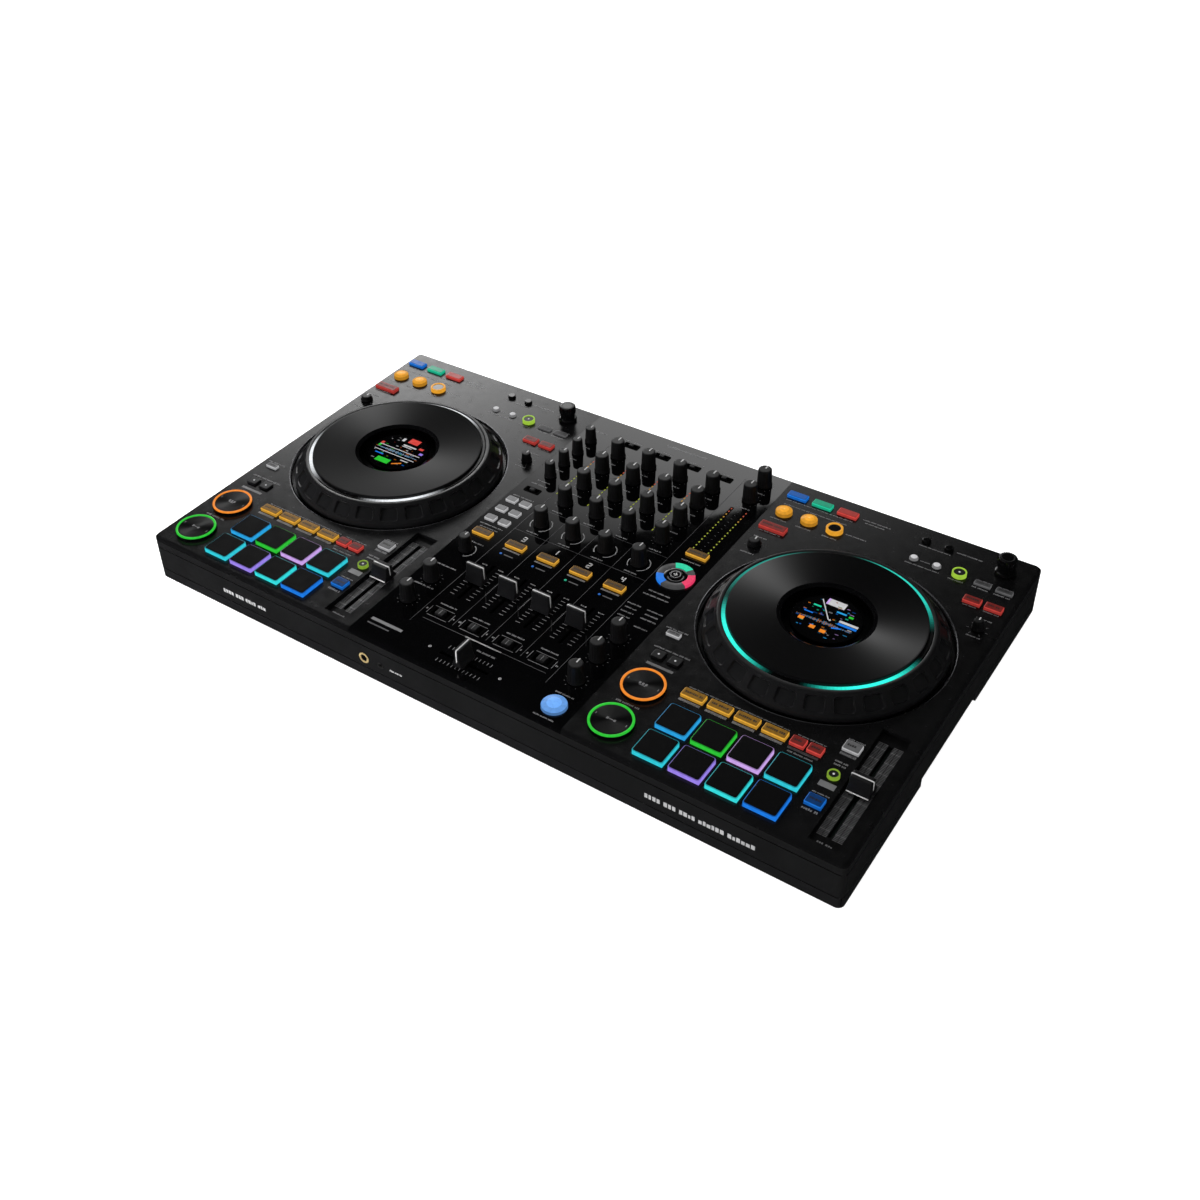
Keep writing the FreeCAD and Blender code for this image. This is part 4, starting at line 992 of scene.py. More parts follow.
def lit_key(keys, x, y, width, depth, rise, colour, top_share=0.22, legend=True):
    """A translucent cap whose rim shines; its top is darker and may carry a dark legend."""
    keys.block(
        x, y, width, depth, 1.1, eased(TOP - 4.0, TOP + rise - 0.35, 0.45), LIT, colour,
        [dimmed(colour, 0.55)] * 2 + [colour] * 3 + [dimmed(colour, 0.8)] * 2,
    )
    keys.block(
        x, y + 0.2, width - 1.1, depth - 1.5, 0.7, eased(TOP + rise - 1.2, TOP + rise, 0.2), LIT,
        dimmed(colour, top_share),
    )
    if legend:
        words(keys, x, y + 0.25, width - 5.0, min(2.2, depth * 0.28), KEY_LEGEND, TOP + rise)


def dome_key(keys, x, y, radius, rise, colours, finish):
    """A round cap with a crowned top; colours run from its foot to its crown, darker at the foot as painted
    shade on the glowing cap.
    """
    levels = [(0.0, TOP - 4.0), (0.0, TOP + rise - 2.2)]
    for step in range(1, 7):
        angle = math.pi / 2 * step / 6.5
        levels.append((radius * (1 - math.cos(angle)), TOP + rise - 2.2 + 2.2 * math.sin(angle)))
    keys.disc(x, y, radius, levels, finish, colours[0], glows=colours)


def ring_key(keys, x, y, radius, rise, colour, face, inner=0.62):
    """A dark round cap inside a lit ring; inner is the cap's share of the radius."""
    keys.tube(x, y, radius * inner, radius, TOP - 4.0, TOP + rise, 0.3, LIT, colour, count=40)
    keys.disc(x, y, radius * inner, eased(TOP - 4.0, TOP + rise - 0.6, 0.3), face, count=40)


def build_deck_keys(side, left):
    keys = Shape()
    for column in MODE_COLUMNS:
        lit_key(keys, left + column, MODE_ROW, 20.5, 9.5, 3.0, AMBER)
    for column in PAGE_COLUMNS:
        lit_key(keys, left + column, MODE_ROW, 12.3, 9.5, 3.0, RED, 0.2)
    for column, colour in zip(LEFT_COLUMNS, (DEEP_BLUE, TEAL, RED)):
        lit_key(keys, left + column, 177.5, 19.5, 9.0, 3.0, colour, 0.45, legend=False)
    for column in LEFT_COLUMNS[:2]:
        # Darker towards the foot as painted shade, and a pale crown as a painted highlight.
        glow_with_painted_shade = [dimmed(DOME_AMBER, 0.45)] * 3 + [dimmed(DOME_AMBER, 0.75)] * 3 + [DOME_AMBER] * 4
        dome_key(keys, left + column, 148.5, 8.0, 5.0, glow_with_painted_shade + [paint(250, 196, 96)] * 2, LIT)
    x = left + LEFT_COLUMNS[2]
    ring_key(keys, x, 148.5, 8.0, 4.0, dimmed(DOME_AMBER, 0.8), GLOSS_BLACK, 0.74)
    for column in (20.6, 36.6):
        keys.block(left + column, -84.7, 11.0, 10.0, 1.2, eased(TOP - 4, TOP + 2.0, 0.5), CAP_BLACK)
        keys.disc(left + column, -84.7, 0.9, eased(TOP + 1.8, TOP + 2.15, 0.1), LIT, PALE, count=16)
    lit_key(keys, left + 18.0, -56.0, 13.0, 6.0, 2.5, dimmed(PALE, 0.9), 0.2)
    lit_key(keys, left + 19.1, 121.0, 26.0, 10.0, 3.5, dimmed(RED, 0.8), 0.3)
    for column in (211.1, 230.8):
        lit_key(keys, left + column, 146.5, 15.0, 6.0, 2.0, dimmed(PALE, 0.22), 0.35)
    for column in (211.9, 231.1):
        lit_key(keys, left + column, 120.5, 15.5, 9.0, 3.0, dimmed(RED, 0.8), 0.25)
    lit_key(keys, left + RIGHT_COLUMN, -94.0, 14.0, 11.0, 2.5, dimmed(PALE, 0.85), 0.2)
    lit_key(keys, left + RIGHT_COLUMN, -158.5, 14.0, 11.0, 3.0, dimmed(DEEP_BLUE, 0.9), 0.18)
    for column in (145.8, 167.4):
        keys.disc(left + column, 178.0, 4.0, eased(TOP - 4, TOP + 3.0, 0.8), GLOSS_BLACK, count=32)
        # Dim foot and bright top: painted shade on the glowing dome.
        dome_key(keys, left + column, 149.5, 4.0, 3.0, [dimmed(PALE, 0.3)] * 5 + [PALE] * 6, LIT)
    ring_key(keys, left + 188.6, 149.0, 6.5, 4.0, LIME, CAP_BLACK, 0.8)
    ring_key(keys, left + RIGHT_COLUMN, -127.5, 5.0, 3.0, dimmed(LIME, 0.6), CAP_BLACK, 0.78)
    for column, row, height in ((188.6, 149.0, 4.0), (RIGHT_COLUMN, -127.5, 3.0)):
        keys.disc(
            left + column, row, 0.9, eased(TOP + height - 0.8, TOP + height - 0.4, 0.1), LIT, PALE,
            count=16,
        )
    keys.make(f"{side}_key_caps", f"{side}_deck_keys", "key_translucent", [f"{side}_deck_keys"])


for side, left in DECK_LEFTS.items():
    build_pads(side, left)
    transport_key(side, left, "cue", CUE_Y, ORANGE, [f"{side}_transport_keys"])
    transport_key(side, left, "play", PLAY_Y, GREEN, ())
    build_deck_keys(side, left)


# The selector's lit sectors: colour, middle and width in degrees.
SELECTOR_SECTORS = ((TEAL, 90, 62), (paint(226, 60, 100), 0, 62), (DEEP_BLUE, 225, 52))


def selector(keys):
    """A flat dark ring with three lit sectors round a dark centre key."""
    x, y = SELECTOR_WHEEL
    inner = SELECTOR_HUB + 4.6
    keys.tube(x, y, SELECTOR_HUB + 0.5, inner, TOP - 4.0, TOP + 2.0, 0.3, GLOSS_BLACK, count=64)
    keys.tube(
        x, y, inner + 0.1, SELECTOR_RADIUS, TOP - 4.0, TOP + 2.2, 0.4, LIT, dimmed(PALE, 0.10), count=64
    )
    for colour, middle, width in SELECTOR_SECTORS:
        start, end = math.radians(middle - width / 2), math.radians(middle + width / 2)
        rings = [
            sector_ring(x, y, inner + 0.1, SELECTOR_RADIUS + 0.05, start, end, inset, z)
            for inset, z in eased(TOP - 3.0, TOP + 2.5, 0.4)
        ]
        keys.loft(rings, LIT, colour)
    keys.disc(x, y, SELECTOR_HUB, eased(TOP - 4.0, TOP + 3.2, 0.8), GLOSS_BLACK, count=40)
    keys.tube(x, y, 4.0, 5.0, TOP + 3.1, TOP + 3.3, 0.05, PRINT, count=40)
    keys.bar(x, y, 4.2, 1.1, TOP + 3.1, TOP + 3.35, WHITE_LINE)
    keys.bar(x, y, 1.1, 4.2, TOP + 3.1, TOP + 3.35, WHITE_LINE)


def build_mixer_keys():
    keys = Shape()
    for x in (-101.5, -85.8):
        for y in (27.0, 10.0, -7.0):
            lit_key(keys, x, y, 11.0, 8.0, 2.5, PALE, 0.3, legend=False)
    for x in (*CHANNEL_COLUMNS, -93.8):
        lit_key(keys, x, -30.0, 20.0, 9.0, 3.0, AMBER, 0.1)
    lit_key(keys, 91.8, 48.5, 21.0, 9.0, 3.0, AMBER, 0.1)
    x, y = EFFECT_KEY
    # Darker towards the foot: painted shade on the glowing dome.
    dome_key(keys, x, y, 11.0, 4.0, [dimmed(SKY, 0.4)] * 3 + [dimmed(SKY, 0.75)] * 3 + [SKY] * 5, LIT)
    selector(keys)
    keys.make("mixer_key_caps", "mixer_keys", "key_translucent", ["mixer_keys"])


build_mixer_keys()


# ---- knobs and faders -----------------------------------------------------------------------


def add_knob(shape, x, y, radius, rise, pointer=True):
    """A tall grip that narrows to a flat cap, with a white pointer towards the back."""
    shape.disc(x, y, 3.0, [(0, TOP - 3.8), (0, TOP + 2.0)], SOCKET_PLASTIC, count=20)
    profile = (
        (0.35, 0.8), (0.0, 1.1), (0.05, 2.2), (0.55, 2.9), (0.75, rise * 0.5), (1.15, rise - 1.2),
        (1.3, rise - 0.5), (1.6, rise - 0.12), (2.0, rise),
    )
    rings = []
    for inset, z in profile:
        depth = 0.22 if 2.5 < z < rise - 1 else 0.0
        rings.append(round_ring(x, y, radius - inset, TOP + z, 72, 18, depth))
    shape.loft(rings, KNOB_BLACK)
    top = TOP + rise
    shape.disc(x, y, radius - 2.5, [(0, top - 0.4), (0, top + 0.06), (0.15, top + 0.1)], KNOB_TOP)
    if pointer:
        reach = radius - 1.6
        shape.bar(x, y + reach * 0.58, 1.2, reach * 0.84, top - 0.3, top + 0.2, WHITE_LINE)
        shape.bar(x, y + radius - 1.45, 1.2, 0.8, TOP + rise * 0.66, top - 0.1, WHITE_LINE)


def add_fader_cap(shape, x, y, along_x, width, length, base, rise, waist):
    """A waisted cap with a white line over its ridge; it slides along Y unless along_x."""
    top = TOP + rise
    levels = (
        (0.5, 1.0, base), (0.0, 1.0, base + 0.5), (0.0, 1.0, base + 1.6), (0.15, 0.88, base + 2.6),
        (0.35, waist + 0.1, base + (top - base) * 0.4), (0.5, waist, base + (top - base) * 0.7),
        (0.55, waist, top - 1.0), (0.75, waist - 0.03, top - 0.35), (1.1, waist - 0.09, top),
    )
    rings = []
    for inset, share, z in levels:
        plan = (width - 2 * inset, length * share)
        if along_x:
            plan = plan[::-1]
        rings.append(corner_ring(x, y, *plan, 0.9, z, 3))
    shape.loft(rings, CAP_BLACK)
    line = (width - 1.8, 1.25)
    shape.bar(x, y, *(line[::-1] if along_x else line), top - 0.3, top + 0.14, WHITE_LINE)
    for side in (-1, 1):
        reach = side * (width / 2 - 0.72)
        place = (x, y + reach) if along_x else (x + reach, y)
        tab = (1.25, 0.9) if along_x else (0.9, 1.25)
        shape.bar(*place, *tab, base + (top - base) * 0.3, top - 0.1, WHITE_LINE)
    stem = (5.0, 2.0) if along_x else (2.0, 5.0)
    shape.block(x, y, *stem, 0.4, [(0, base - 5.4), (0, base + 0.6)], NICKEL, steps=1)


for number, column in enumerate(CHANNEL_COLUMNS, start=1):
    for name, row in CHANNEL_ROWS.items():
        knob = Shape()
        add_knob(knob, column, row, 7.8, 19.5)
        label = f"channel_{number}_{name}_knob"
        knob.make(f"{label}_cap", label, "knob_black", [label])
    cap = Shape()
    add_fader_cap(cap, column, FADER_ROW, False, CAP_WIDTH, CAP_LENGTH, TOP + 1.6, 19.5, 0.5)
    label = f"channel_{number}_fader"
    cap.make(f"{label}_cap", label, "fader_black", [label])
cap = Shape()
add_fader_cap(cap, 0, CROSSFADER_ROW, True, CAP_WIDTH, CAP_LENGTH, TOP + 1.6, 19.5, 0.5)
cap.make("crossfader_cap", "crossfader", "fader_black", ["crossfader"])
for label, (x, y) in MIXER_KNOBS.items():
    knob = Shape()
    add_knob(knob, x, y, 7.8, 19.5)
    knob.make(f"{label}_cap", label, "knob_black", [label])

small_knobs = Shape()
for row in MIC_ROWS:
    add_knob(small_knobs, EDGE_COLUMN, row, 6.2, 17.0)
add_knob(small_knobs, *SAMPLER_PLACE, 6.8, 17.0)
for side, left in DECK_LEFTS.items():
    add_knob(small_knobs, left + SPEED_PLACE[0], SPEED_PLACE[1], 5.5, 10.0)
    add_knob(small_knobs, left + JOG_ADJUST_PLACE[0], JOG_ADJUST_PLACE[1], 6.5, 6.0)
small_knobs.make("small_trim_knob_caps", "case", "knob_black", ["small_trim_knobs"])


def open_box(shape, width, depth, hole_width, hole_depth, low, high, finish):
    """A rectangular sleeve, open at both ends."""
    outer = corner_ring(0, 0, width, depth, 1.2, 0, 3)
    inner = corner_ring(0, 0, hole_width, hole_depth, 0.8, 0, 3)
    rings = []
    for outside, inside in zip(outer, inner):
        rings.append(
            [
                (inside[0], inside[1], low), (outside[0], outside[1], low),
                (outside[0], outside[1], high - 0.2), (outside[0] * 0.99, outside[1] * 0.99, high),
                (inside[0] * 1.01, inside[1] * 1.01, high), (inside[0], inside[1], high - 0.2),
            ]
        )
    shape.loft(rings, finish, wrap=True)


def browse_knob(side, left):
    """A tall push knob with a coarse grip round its head."""
    x, y = left + BROWSE_PLACE[0], BROWSE_PLACE[1]
    knob = Shape()
    knob.disc(x, y, 3.0, [(0, TOP - 3.8), (0, TOP + 2.0)], SOCKET_PLASTIC, count=20)
    skirt = [(0.3, 0.8), (0.0, 1.2), (0.0, 2.6), (0.6, 3.4), (1.6, 3.8)]
    knob.disc(x, y, 9.5, [(inset, TOP + z) for inset, z in skirt], GLOSS_BLACK, count=72)
    # Radius, height and depth of the grip's flutes.
    profile = [(7.6, 3.4, 0), (7.6, 8.0, 0), (7.9, 9.0, 0), (8.5, 9.6, 0.9), (8.6, 12.0, 0.9)]
    profile += [(8.6, 16.6, 0.9), (8.2, 17.5, 0.7), (7.2, 17.95, 0.0)]
    rings = [round_ring(x, y, radius, TOP + z, 96, 24, depth) for radius, z, depth in profile]
    knob.loft(rings, GLOSS_BLACK)
    knob.tube(x, y, 5.0, 6.6, TOP + 17.4, TOP + 18.0, 0.3, CAP_BLACK)
    knob.make(f"{side}_browse_knob_cap", f"{side}_browse_knob", "knob_black", [f"{side}_browse_knob"])


def tempo_cap(side, left):
    x, y = left + TEMPO_X, TEMPO_Y
    base = TOP - TEMPO_RECESS + 1.6
    cap = Shape()
    add_fader_cap(cap, x, y, False, 19.0, 16.0, base, 11.0, 0.55)
    # A pale strip along the foot of the cap's front face only.
    cap.bar(x, y - 7.9, 18.0, 0.5, base + 0.9, base + 1.9, WHITE_LINE)
    cap.make(f"{side}_tempo_cap", f"{side}_tempo_slider", "fader_black", [f"{side}_tempo_slider"])


for side, left in DECK_LEFTS.items():
    browse_knob(side, left)
    tempo_cap(side, left)


def build_switches():
    """The slide switches: each nub rides a dark cover under its slot, inside a thin bezel."""
    switches = Shape()
    bezels = Shape()
    for x, y in INPUT_SWITCHES:
        switches.block(x, y, 19.8, 6.8, 0.5, [(0, TOP - 4.2), (0, TOP - 3.4)], SLOT_BLACK)
        switches.block(x, y, 5.0, 3.8, 0.5, eased(TOP - 3.6, TOP + 2.0, 0.35), CAP_BLACK)
        for rib in (-1.2, 0.0, 1.2):
            switches.bar(x + rib, y, 0.5, 3.2, TOP + 1.9, TOP + 2.2, CAP_BLACK)
        bezels.place = Matrix.Translation((x, y, TOP))
        open_box(bezels, 17.6, 8.0, 13.2, 5.2, -0.05, 0.5, SLOT_BLACK)
    for x in CHANNEL_COLUMNS:
        y = ASSIGN_ROW
        switches.block(x, y, 23.3, 10.5, 0.5, [(0, TOP - 4.2), (0, TOP - 3.4)], SLOT_BLACK)
        switches.block(x, y, 8.5, 7.5, 1.0, eased(TOP - 3.6, TOP + 2.0, 0.5), CAP_BLACK)
        for rib in (-2.4, -1.2, 0.0, 1.2, 2.4):
            finish = PRINT if rib == 0 else CAP_BLACK
            switches.bar(x + rib, y, 0.5, 6.0, TOP + 1.9, TOP + 2.2, finish)
        bezels.place = Matrix.Translation((x, y, TOP))
        open_box(bezels, 20.0, 11.6, 17.0, 9.0, -0.05, 0.35, SLOT_BLACK)
    switches.make("slide_switch_nubs", "slide_switches", "switch_black", ["slide_switches"])
    bezels.place = Matrix.Identity(4)
    bezels.make("switch_bezels", "case", "switch_black")


build_switches()


# ---- prints, scales and meters --------------------------------------------------------------


SEGMENTS = {1: "bc", 2: "abged", 3: "abgcd", 4: "fgbc"}


def digit(shape, x, y, height, number, finish):
    """A plain seven-stroke numeral."""
    half, stroke = height / 2, height * 0.14
    width = height * 0.5
    strokes = {
        "a": (0, half, width, stroke), "g": (0, 0, width, stroke), "d": (0, -half, width, stroke),
        "b": (width / 2, half / 2, stroke, half), "c": (width / 2, -half / 2, stroke, half),
        "f": (-width / 2, half / 2, stroke, half), "e": (-width / 2, -half / 2, stroke, half),
    }
    for key in SEGMENTS[number]:
        off_x, off_y, wide, deep = strokes[key]
        shape.mark(x + off_x, y + off_y, wide + stroke * 0.5, deep + stroke * 0.5, TOP, finish)


def scale_ticks(shape, x, y, radius, length=1.3, count=11, finish=None):
    """Short strokes round a knob, over 300 degrees."""
    for step in range(count):
        angle = math.radians(-60 + 300 * step / (count - 1))
        shape.place = Matrix.Translation((x, y, 0)) @ Matrix.Rotation(angle, 4, "Z")
        shape.mark(radius, 0, length, 0.35, TOP, finish or PRINT)
    shape.place = Matrix.Identity(4)


def print_arc(shape, x, y, radius, start, end, finish, width=0.5):
    steps = max(3, round(abs(end - start) / 12))
    for step in range(steps):
        angle = math.radians(start + (end - start) * (step + 0.5) / steps)
        arc = math.radians(abs(end - start)) * radius / steps
        shape.place = Matrix.Translation((x, y, 0)) @ Matrix.Rotation(angle, 4, "Z")
        shape.mark(radius, 0, width, arc * 1.04, TOP, finish)
    shape.place = Matrix.Identity(4)


DECK_WORDS = (
    # x, y, length, height
    (107, -103.0, 92, 1.3), (171, -103.0, 24, 1.3), (29.6, -147.0, 22, 2.0), (18, -49.5, 22, 1.7),
    (28.6, -75.5, 36, 1.8), (42.2, 169.5, 68, 1.4), (97, 178.5, 28, 1.4), (97, 174.5, 20, 1.3),
    (42.2, 162.0, 66, 1.4), (16.2, 136.5, 16, 1.5), (42.2, 136.5, 16, 1.5), (68.2, 136.5, 14, 1.5),
    (89, 149.5, 20, 1.4), (19.1, 114.0, 22, 1.5), (15.8, 103.0, 14, 1.6), (15.8, 77.0, 14, 1.6),
    (156.6, 171.0, 30, 1.4), (156.6, 141.5, 32, 1.5), (188.6, 140.0, 14, 1.5), (187.5, 178.0, 25, 1.6),
    (156.6, 149.5, 9, 1.4), (211.1, 140.5, 15, 1.8), (230.8, 140.5, 15, 1.8), (211.1, 151.5, 15, 1.2),
    (230.8, 151.5, 15, 1.2), (231.1, 113.8, 14, 1.5), (211.9, 113.8, 12, 1.4), (229, 103.0, 13, 1.5),
    (229, 78.0, 12, 1.5), (RIGHT_COLUMN, -85.5, 14, 1.6), (RIGHT_COLUMN, -102.5, 13, 1.8),
    (RIGHT_COLUMN, -112.0, 12, 1.7), (RIGHT_COLUMN, -115.5, 11, 1.7), (RIGHT_COLUMN, -149.0, 14, 1.4),
    (RIGHT_COLUMN, -167.5, 13, 2.2), (170.5, -122.8, 22, 1.5),
)


def deck_print(side, left):
    prints = Shape()
    for x, y, length, height in DECK_WORDS:
        words(prints, left + x, y, length, height)
    for column in MODE_COLUMNS:
        prints.mark(left + column, -119.0, 19.5, 2.6, TOP, PRINT)
    prints.mark(left + 170.7, -119.0, 26.0, 2.4, TOP, PRINT_DIM)
    prints.mark(left + 28.6, -96.5, 25.5, 2.8, TOP, PRINT)
    prints.mark(left + RIGHT_COLUMN, -138.5, 13.5, 6.0, TOP, PRINT)
    prints.mark(left + RIGHT_COLUMN, -102.4, 13.5, 3.4, TOP - 0.02, PRINT_DIM)
    scale_ticks(prints, left + SPEED_PLACE[0], SPEED_PLACE[1], 8.4, 2.4, 7)
    scale_ticks(prints, left + JOG_ADJUST_PLACE[0], JOG_ADJUST_PLACE[1], 8.6, 1.2, 9, PRINT_DIM)
    prints.make(f"{side}_deck_print", "case", "deck_sheet")


def tempo_scale(side, left):
    """Two columns of fine strokes in the tempo recess, a dust strip and the end legend."""
    x = left + TEMPO_X
    floor = TOP - TEMPO_RECESS
    scale = Shape()
    for step in range(73):
        y = TEMPO_Y - 54 + 1.5 * step
        for mirror in (-1, 1):
            finish = PRINT if step % 8 == 4 else TICK_GREY
            for middle, wide in ((4.1, 3.6), (8.3, 4.0)):
                scale.mark(x + mirror * middle, y, wide, 0.85, floor, finish)
    words(scale, x, TEMPO_Y - 61.5, 13, 2.6, level=floor)
    for mirror in (-1, 1):
        scale.block(
            x + mirror * 3.2, TEMPO_Y, 4.0, 110.0, 0.3, [(0, floor - 3.6), (0, floor - 2.8)],
            SLOT_BLACK, steps=1,
        )
    scale.make(f"{side}_tempo_scale", "case", "deck_sheet")


for side, left in DECK_LEFTS.items():
    deck_print(side, left)
    tempo_scale(side, left)


MIXER_WORDS = (
    (-94.5, 62.0, 18, 1.5), (-94.5, 36.0, 24, 1.5), (-93.8, -16.5, 26, 1.5), (-93.8, -21.0, 20, 1.4),
    (-93.8, -45.0, 24, 1.6), (-92.5, -87.0, 22, 1.6), (-92.5, -119.0, 22, 1.6), (-94.5, 171.0, 20, 1.5),
    (10.0, -162.0, 20, 1.8), (91.8, 37.0, 20, 1.5), (90.8, -16.0, 22, 1.6), (90.8, -22.0, 26, 1.6),
    (80.0, -40.0, 14, 1.5), (80.0, -46.0, 12, 1.5), (80.0, -52.0, 13, 1.5), (80.0, -58.0, 12, 1.5),
    (101.0, -40.0, 16, 1.5), (101.0, -46.0, 13, 1.5), (101.0, -52.0, 15, 1.5), (101.0, -64.0, 13, 1.5),
    (92.5, -166.0, 18, 1.5), (92.5, -196.0, 20, 1.5), (91.0, 163.5, 16, 1.5), (91.0, 134.5, 16, 1.5),
)


def tick_row(shape, x, y, across, along, count, step_x, step_y, finish=None):
    for step in range(count):
        shape.mark(x + step * step_x, y + step * step_y, across, along, TOP, finish or PRINT)


def mixer_print():
    prints = Shape()
    for x, y, length, height in MIXER_WORDS:
        words(prints, x, y, length, height)
    for row in MIC_ROWS:
        words(prints, EDGE_COLUMN, row - 11.5, 14, 1.4)
    lines = [(-73.3, -162.5, 178.0), (71.0, -162.5, 178.0)]
    lines += [(x, -148.0, 31.0) for x in (-37.5, -1.5, 34.8)]
    for x, low, high in lines:
        prints.mark(x, (low + high) / 2, 0.45, high - low, TOP, PRINT_DIM)
    for y, left, right in ((31.0, -73.3, 71.0), (-7.5, -73.3, 71.0), (-153.5, -66.0, 65.0)):
        prints.mark((left + right) / 2, y, right - left, 0.45, TOP, PRINT_DIM)
    prints.mark(0, -153.5, 38.0, 1.1, TOP, WHITE_LINE)
    for column, number in zip(CHANNEL_COLUMNS, CHANNEL_NUMBERS):
        digit(prints, column, -16.5, 6.0, number, WHITE_LINE)
        prints.mark(column, -37.7, 19.0, 1.8, TOP, PRINT)
        words(prints, column, 2 * 87.0, 19, 1.5)
        for row, name in ((129.5, 11), (99.0, 10), (66.5, 12), (34.5, 12)):
            words(prints, column + 2.0, row, name, 1.5)
        for row in (144.0, 115.0, 83.0, 50.5):
            scale_ticks(prints, column, row, 9.6, 1.1, 11)
        print_arc(prints, column, 10.5, 10.6, -70, 62, BRIGHT_PRINT, 0.9)
        print_arc(prints, column, 10.5, 10.6, 168, 226, BRIGHT_PRINT, 0.9)
        words(prints, column, -4.3, 13, 1.4)
        for mirror in (-1, 1):
            tick_row(prints, column + mirror * 9.0, -114.0, 4.4, 0.6, 11, 0.0, 4.8)
            tick_row(prints, column + mirror * 9.0, -66.0, 5.4, 0.9, 1, 0.0, 1.0, WHITE_LINE)
        words(prints, column, -130.0, 18, 1.6)
        for mirror in (-1, 1):
            prints.mark(column, ASSIGN_ROW + mirror * 6.4, 21.0, 0.5, TOP, PRINT)
            prints.mark(column + mirror * 12.4, ASSIGN_ROW, 0.5, 10.0, TOP, PRINT)
            words(prints, column + mirror * 14.8, ASSIGN_ROW, 2.2, 2.0)
    for x in (-37.5, -1.5, 34.8):
        tick_row(prints, x, -100.0, 1.2, 0.8, 9, 0.0, 2.0)
    for y in (-171.0, -189.0):
        tick_row(prints, -22.0, y, 0.6, 3.4, 12, 4.0, 0.0)
    for x in (-37.0, 37.0):
        print_arc(prints, x, -179.5, 0.8, 0, 360, BRIGHT_PRINT, 1.4)
    for place in MIXER_KNOBS.values():
        scale_ticks(prints, *place, 9.8, 1.2, 11)
    print_arc(prints, *SAMPLER_PLACE, 9.6, -70, 62, BRIGHT_PRINT, 0.9)
    for y in (-38.0, -86.0, -120.0):
        prints.mark(-109.5, y, 0.9, 5.0, TOP, PRINT)
    for x in (84.0, 90.6, 98.0):
        tick_row(prints, x, 58.0, 1.4, 0.5, 12, 0.0, 6.2, PRINT_DIM)
    prints.mark(-86.0, -178.0, 34.0, 3.2, TOP, PRINT)
    prints.mark(-91.0, -184.0, 24.0, 1.6, TOP, PRINT_DIM)
    prints.mark(-1.0, 187.0, 46.0, 2.6, TOP, PRINT)
    prints.make("mixer_print", "case", "mixer_sheet")


mixer_print()

METER_SEGMENTS = 15


def meter_colour(share):
    if share > 0.9:
        return paint(214, 96, 70)
    if share > 0.72:
        return paint(214, 158, 60)
    return METER_GREEN


def build_meters():
    """Lit dashes: a thin column beside each channel and two long ones on the right."""
    meters = Shape()
    for column in CHANNEL_COLUMNS:
        for step in range(METER_SEGMENTS):
            share = step / (METER_SEGMENTS - 1)
            colour = dimmed(meter_colour(share), 0.55)
            meters.bar(column - 16.0, 60.0 + 68.0 * share, 1.1, 2.6, TOP - 0.05, TOP + 0.15, LIT, colour)
    low, high = 57.0, 128.0
    for x in (82.8, 98.3):
        meters.block(
            x, (low + high) / 2, 3.4, high - low + 5, 0.5, [(0, TOP - 0.1), (0, TOP + 0.1)],
            SLOT_BLACK, steps=2,
        )
        for step in range(METER_SEGMENTS):
            share = step / (METER_SEGMENTS - 1)
            colour = dimmed(meter_colour(share), 0.85)
            meters.bar(x, low + (high - low) * share, 1.1, 1.6, TOP - 0.05, TOP + 0.18, LIT, colour)
    for column, colour in zip(CHANNEL_COLUMNS, (DEEP_BLUE, DEEP_BLUE, TEAL, DEEP_BLUE)):
        meters.disc(
            column - 6.5, -45.0, 1.2, eased(TOP - 0.05, TOP + 0.3, 0.12), LIT, dimmed(colour, 0.6),
            count=20,
        )
        meters.bar(column + 2.0, -45.0, 10.0, 1.3, TOP - 0.05, TOP + 0.1, LIT, dimmed(PALE, 0.12))
    meters.make("level_meters", "case", "key_translucent")


build_meters()


def dust_strips():
    """Two soft lips under each fader slot that hide the works below."""
    strips = Shape()
    places = []
    for column in CHANNEL_COLUMNS:
        for mirror in (-1, 1):
            places.append((column + mirror * 3.1, FADER_ROW, 4.0, 60.0))
    for mirror in (-1, 1):
        places.append((0, CROSSFADER_ROW + mirror * 3.1, 56.0, 4.0))
    for place in places:
        strips.block(*place, 0.3, [(0, TOP - 4.0), (0, TOP - 3.05)], SLOT_BLACK, steps=1)
    strips.make("dust_strips", "case", "switch_black")


dust_strips()


# ---- sockets, switch, feet and screws -------------------------------------------------------


def facing_back(x, z):
    return Matrix.Translation((x, BAY_FACE, z)) @ Matrix.Rotation(math.radians(-90), 4, "X")


def facing_front(x, z):
    return Matrix.Translation((x, -HALF_DEPTH, z)) @ Matrix.Rotation(math.radians(90), 4, "X")


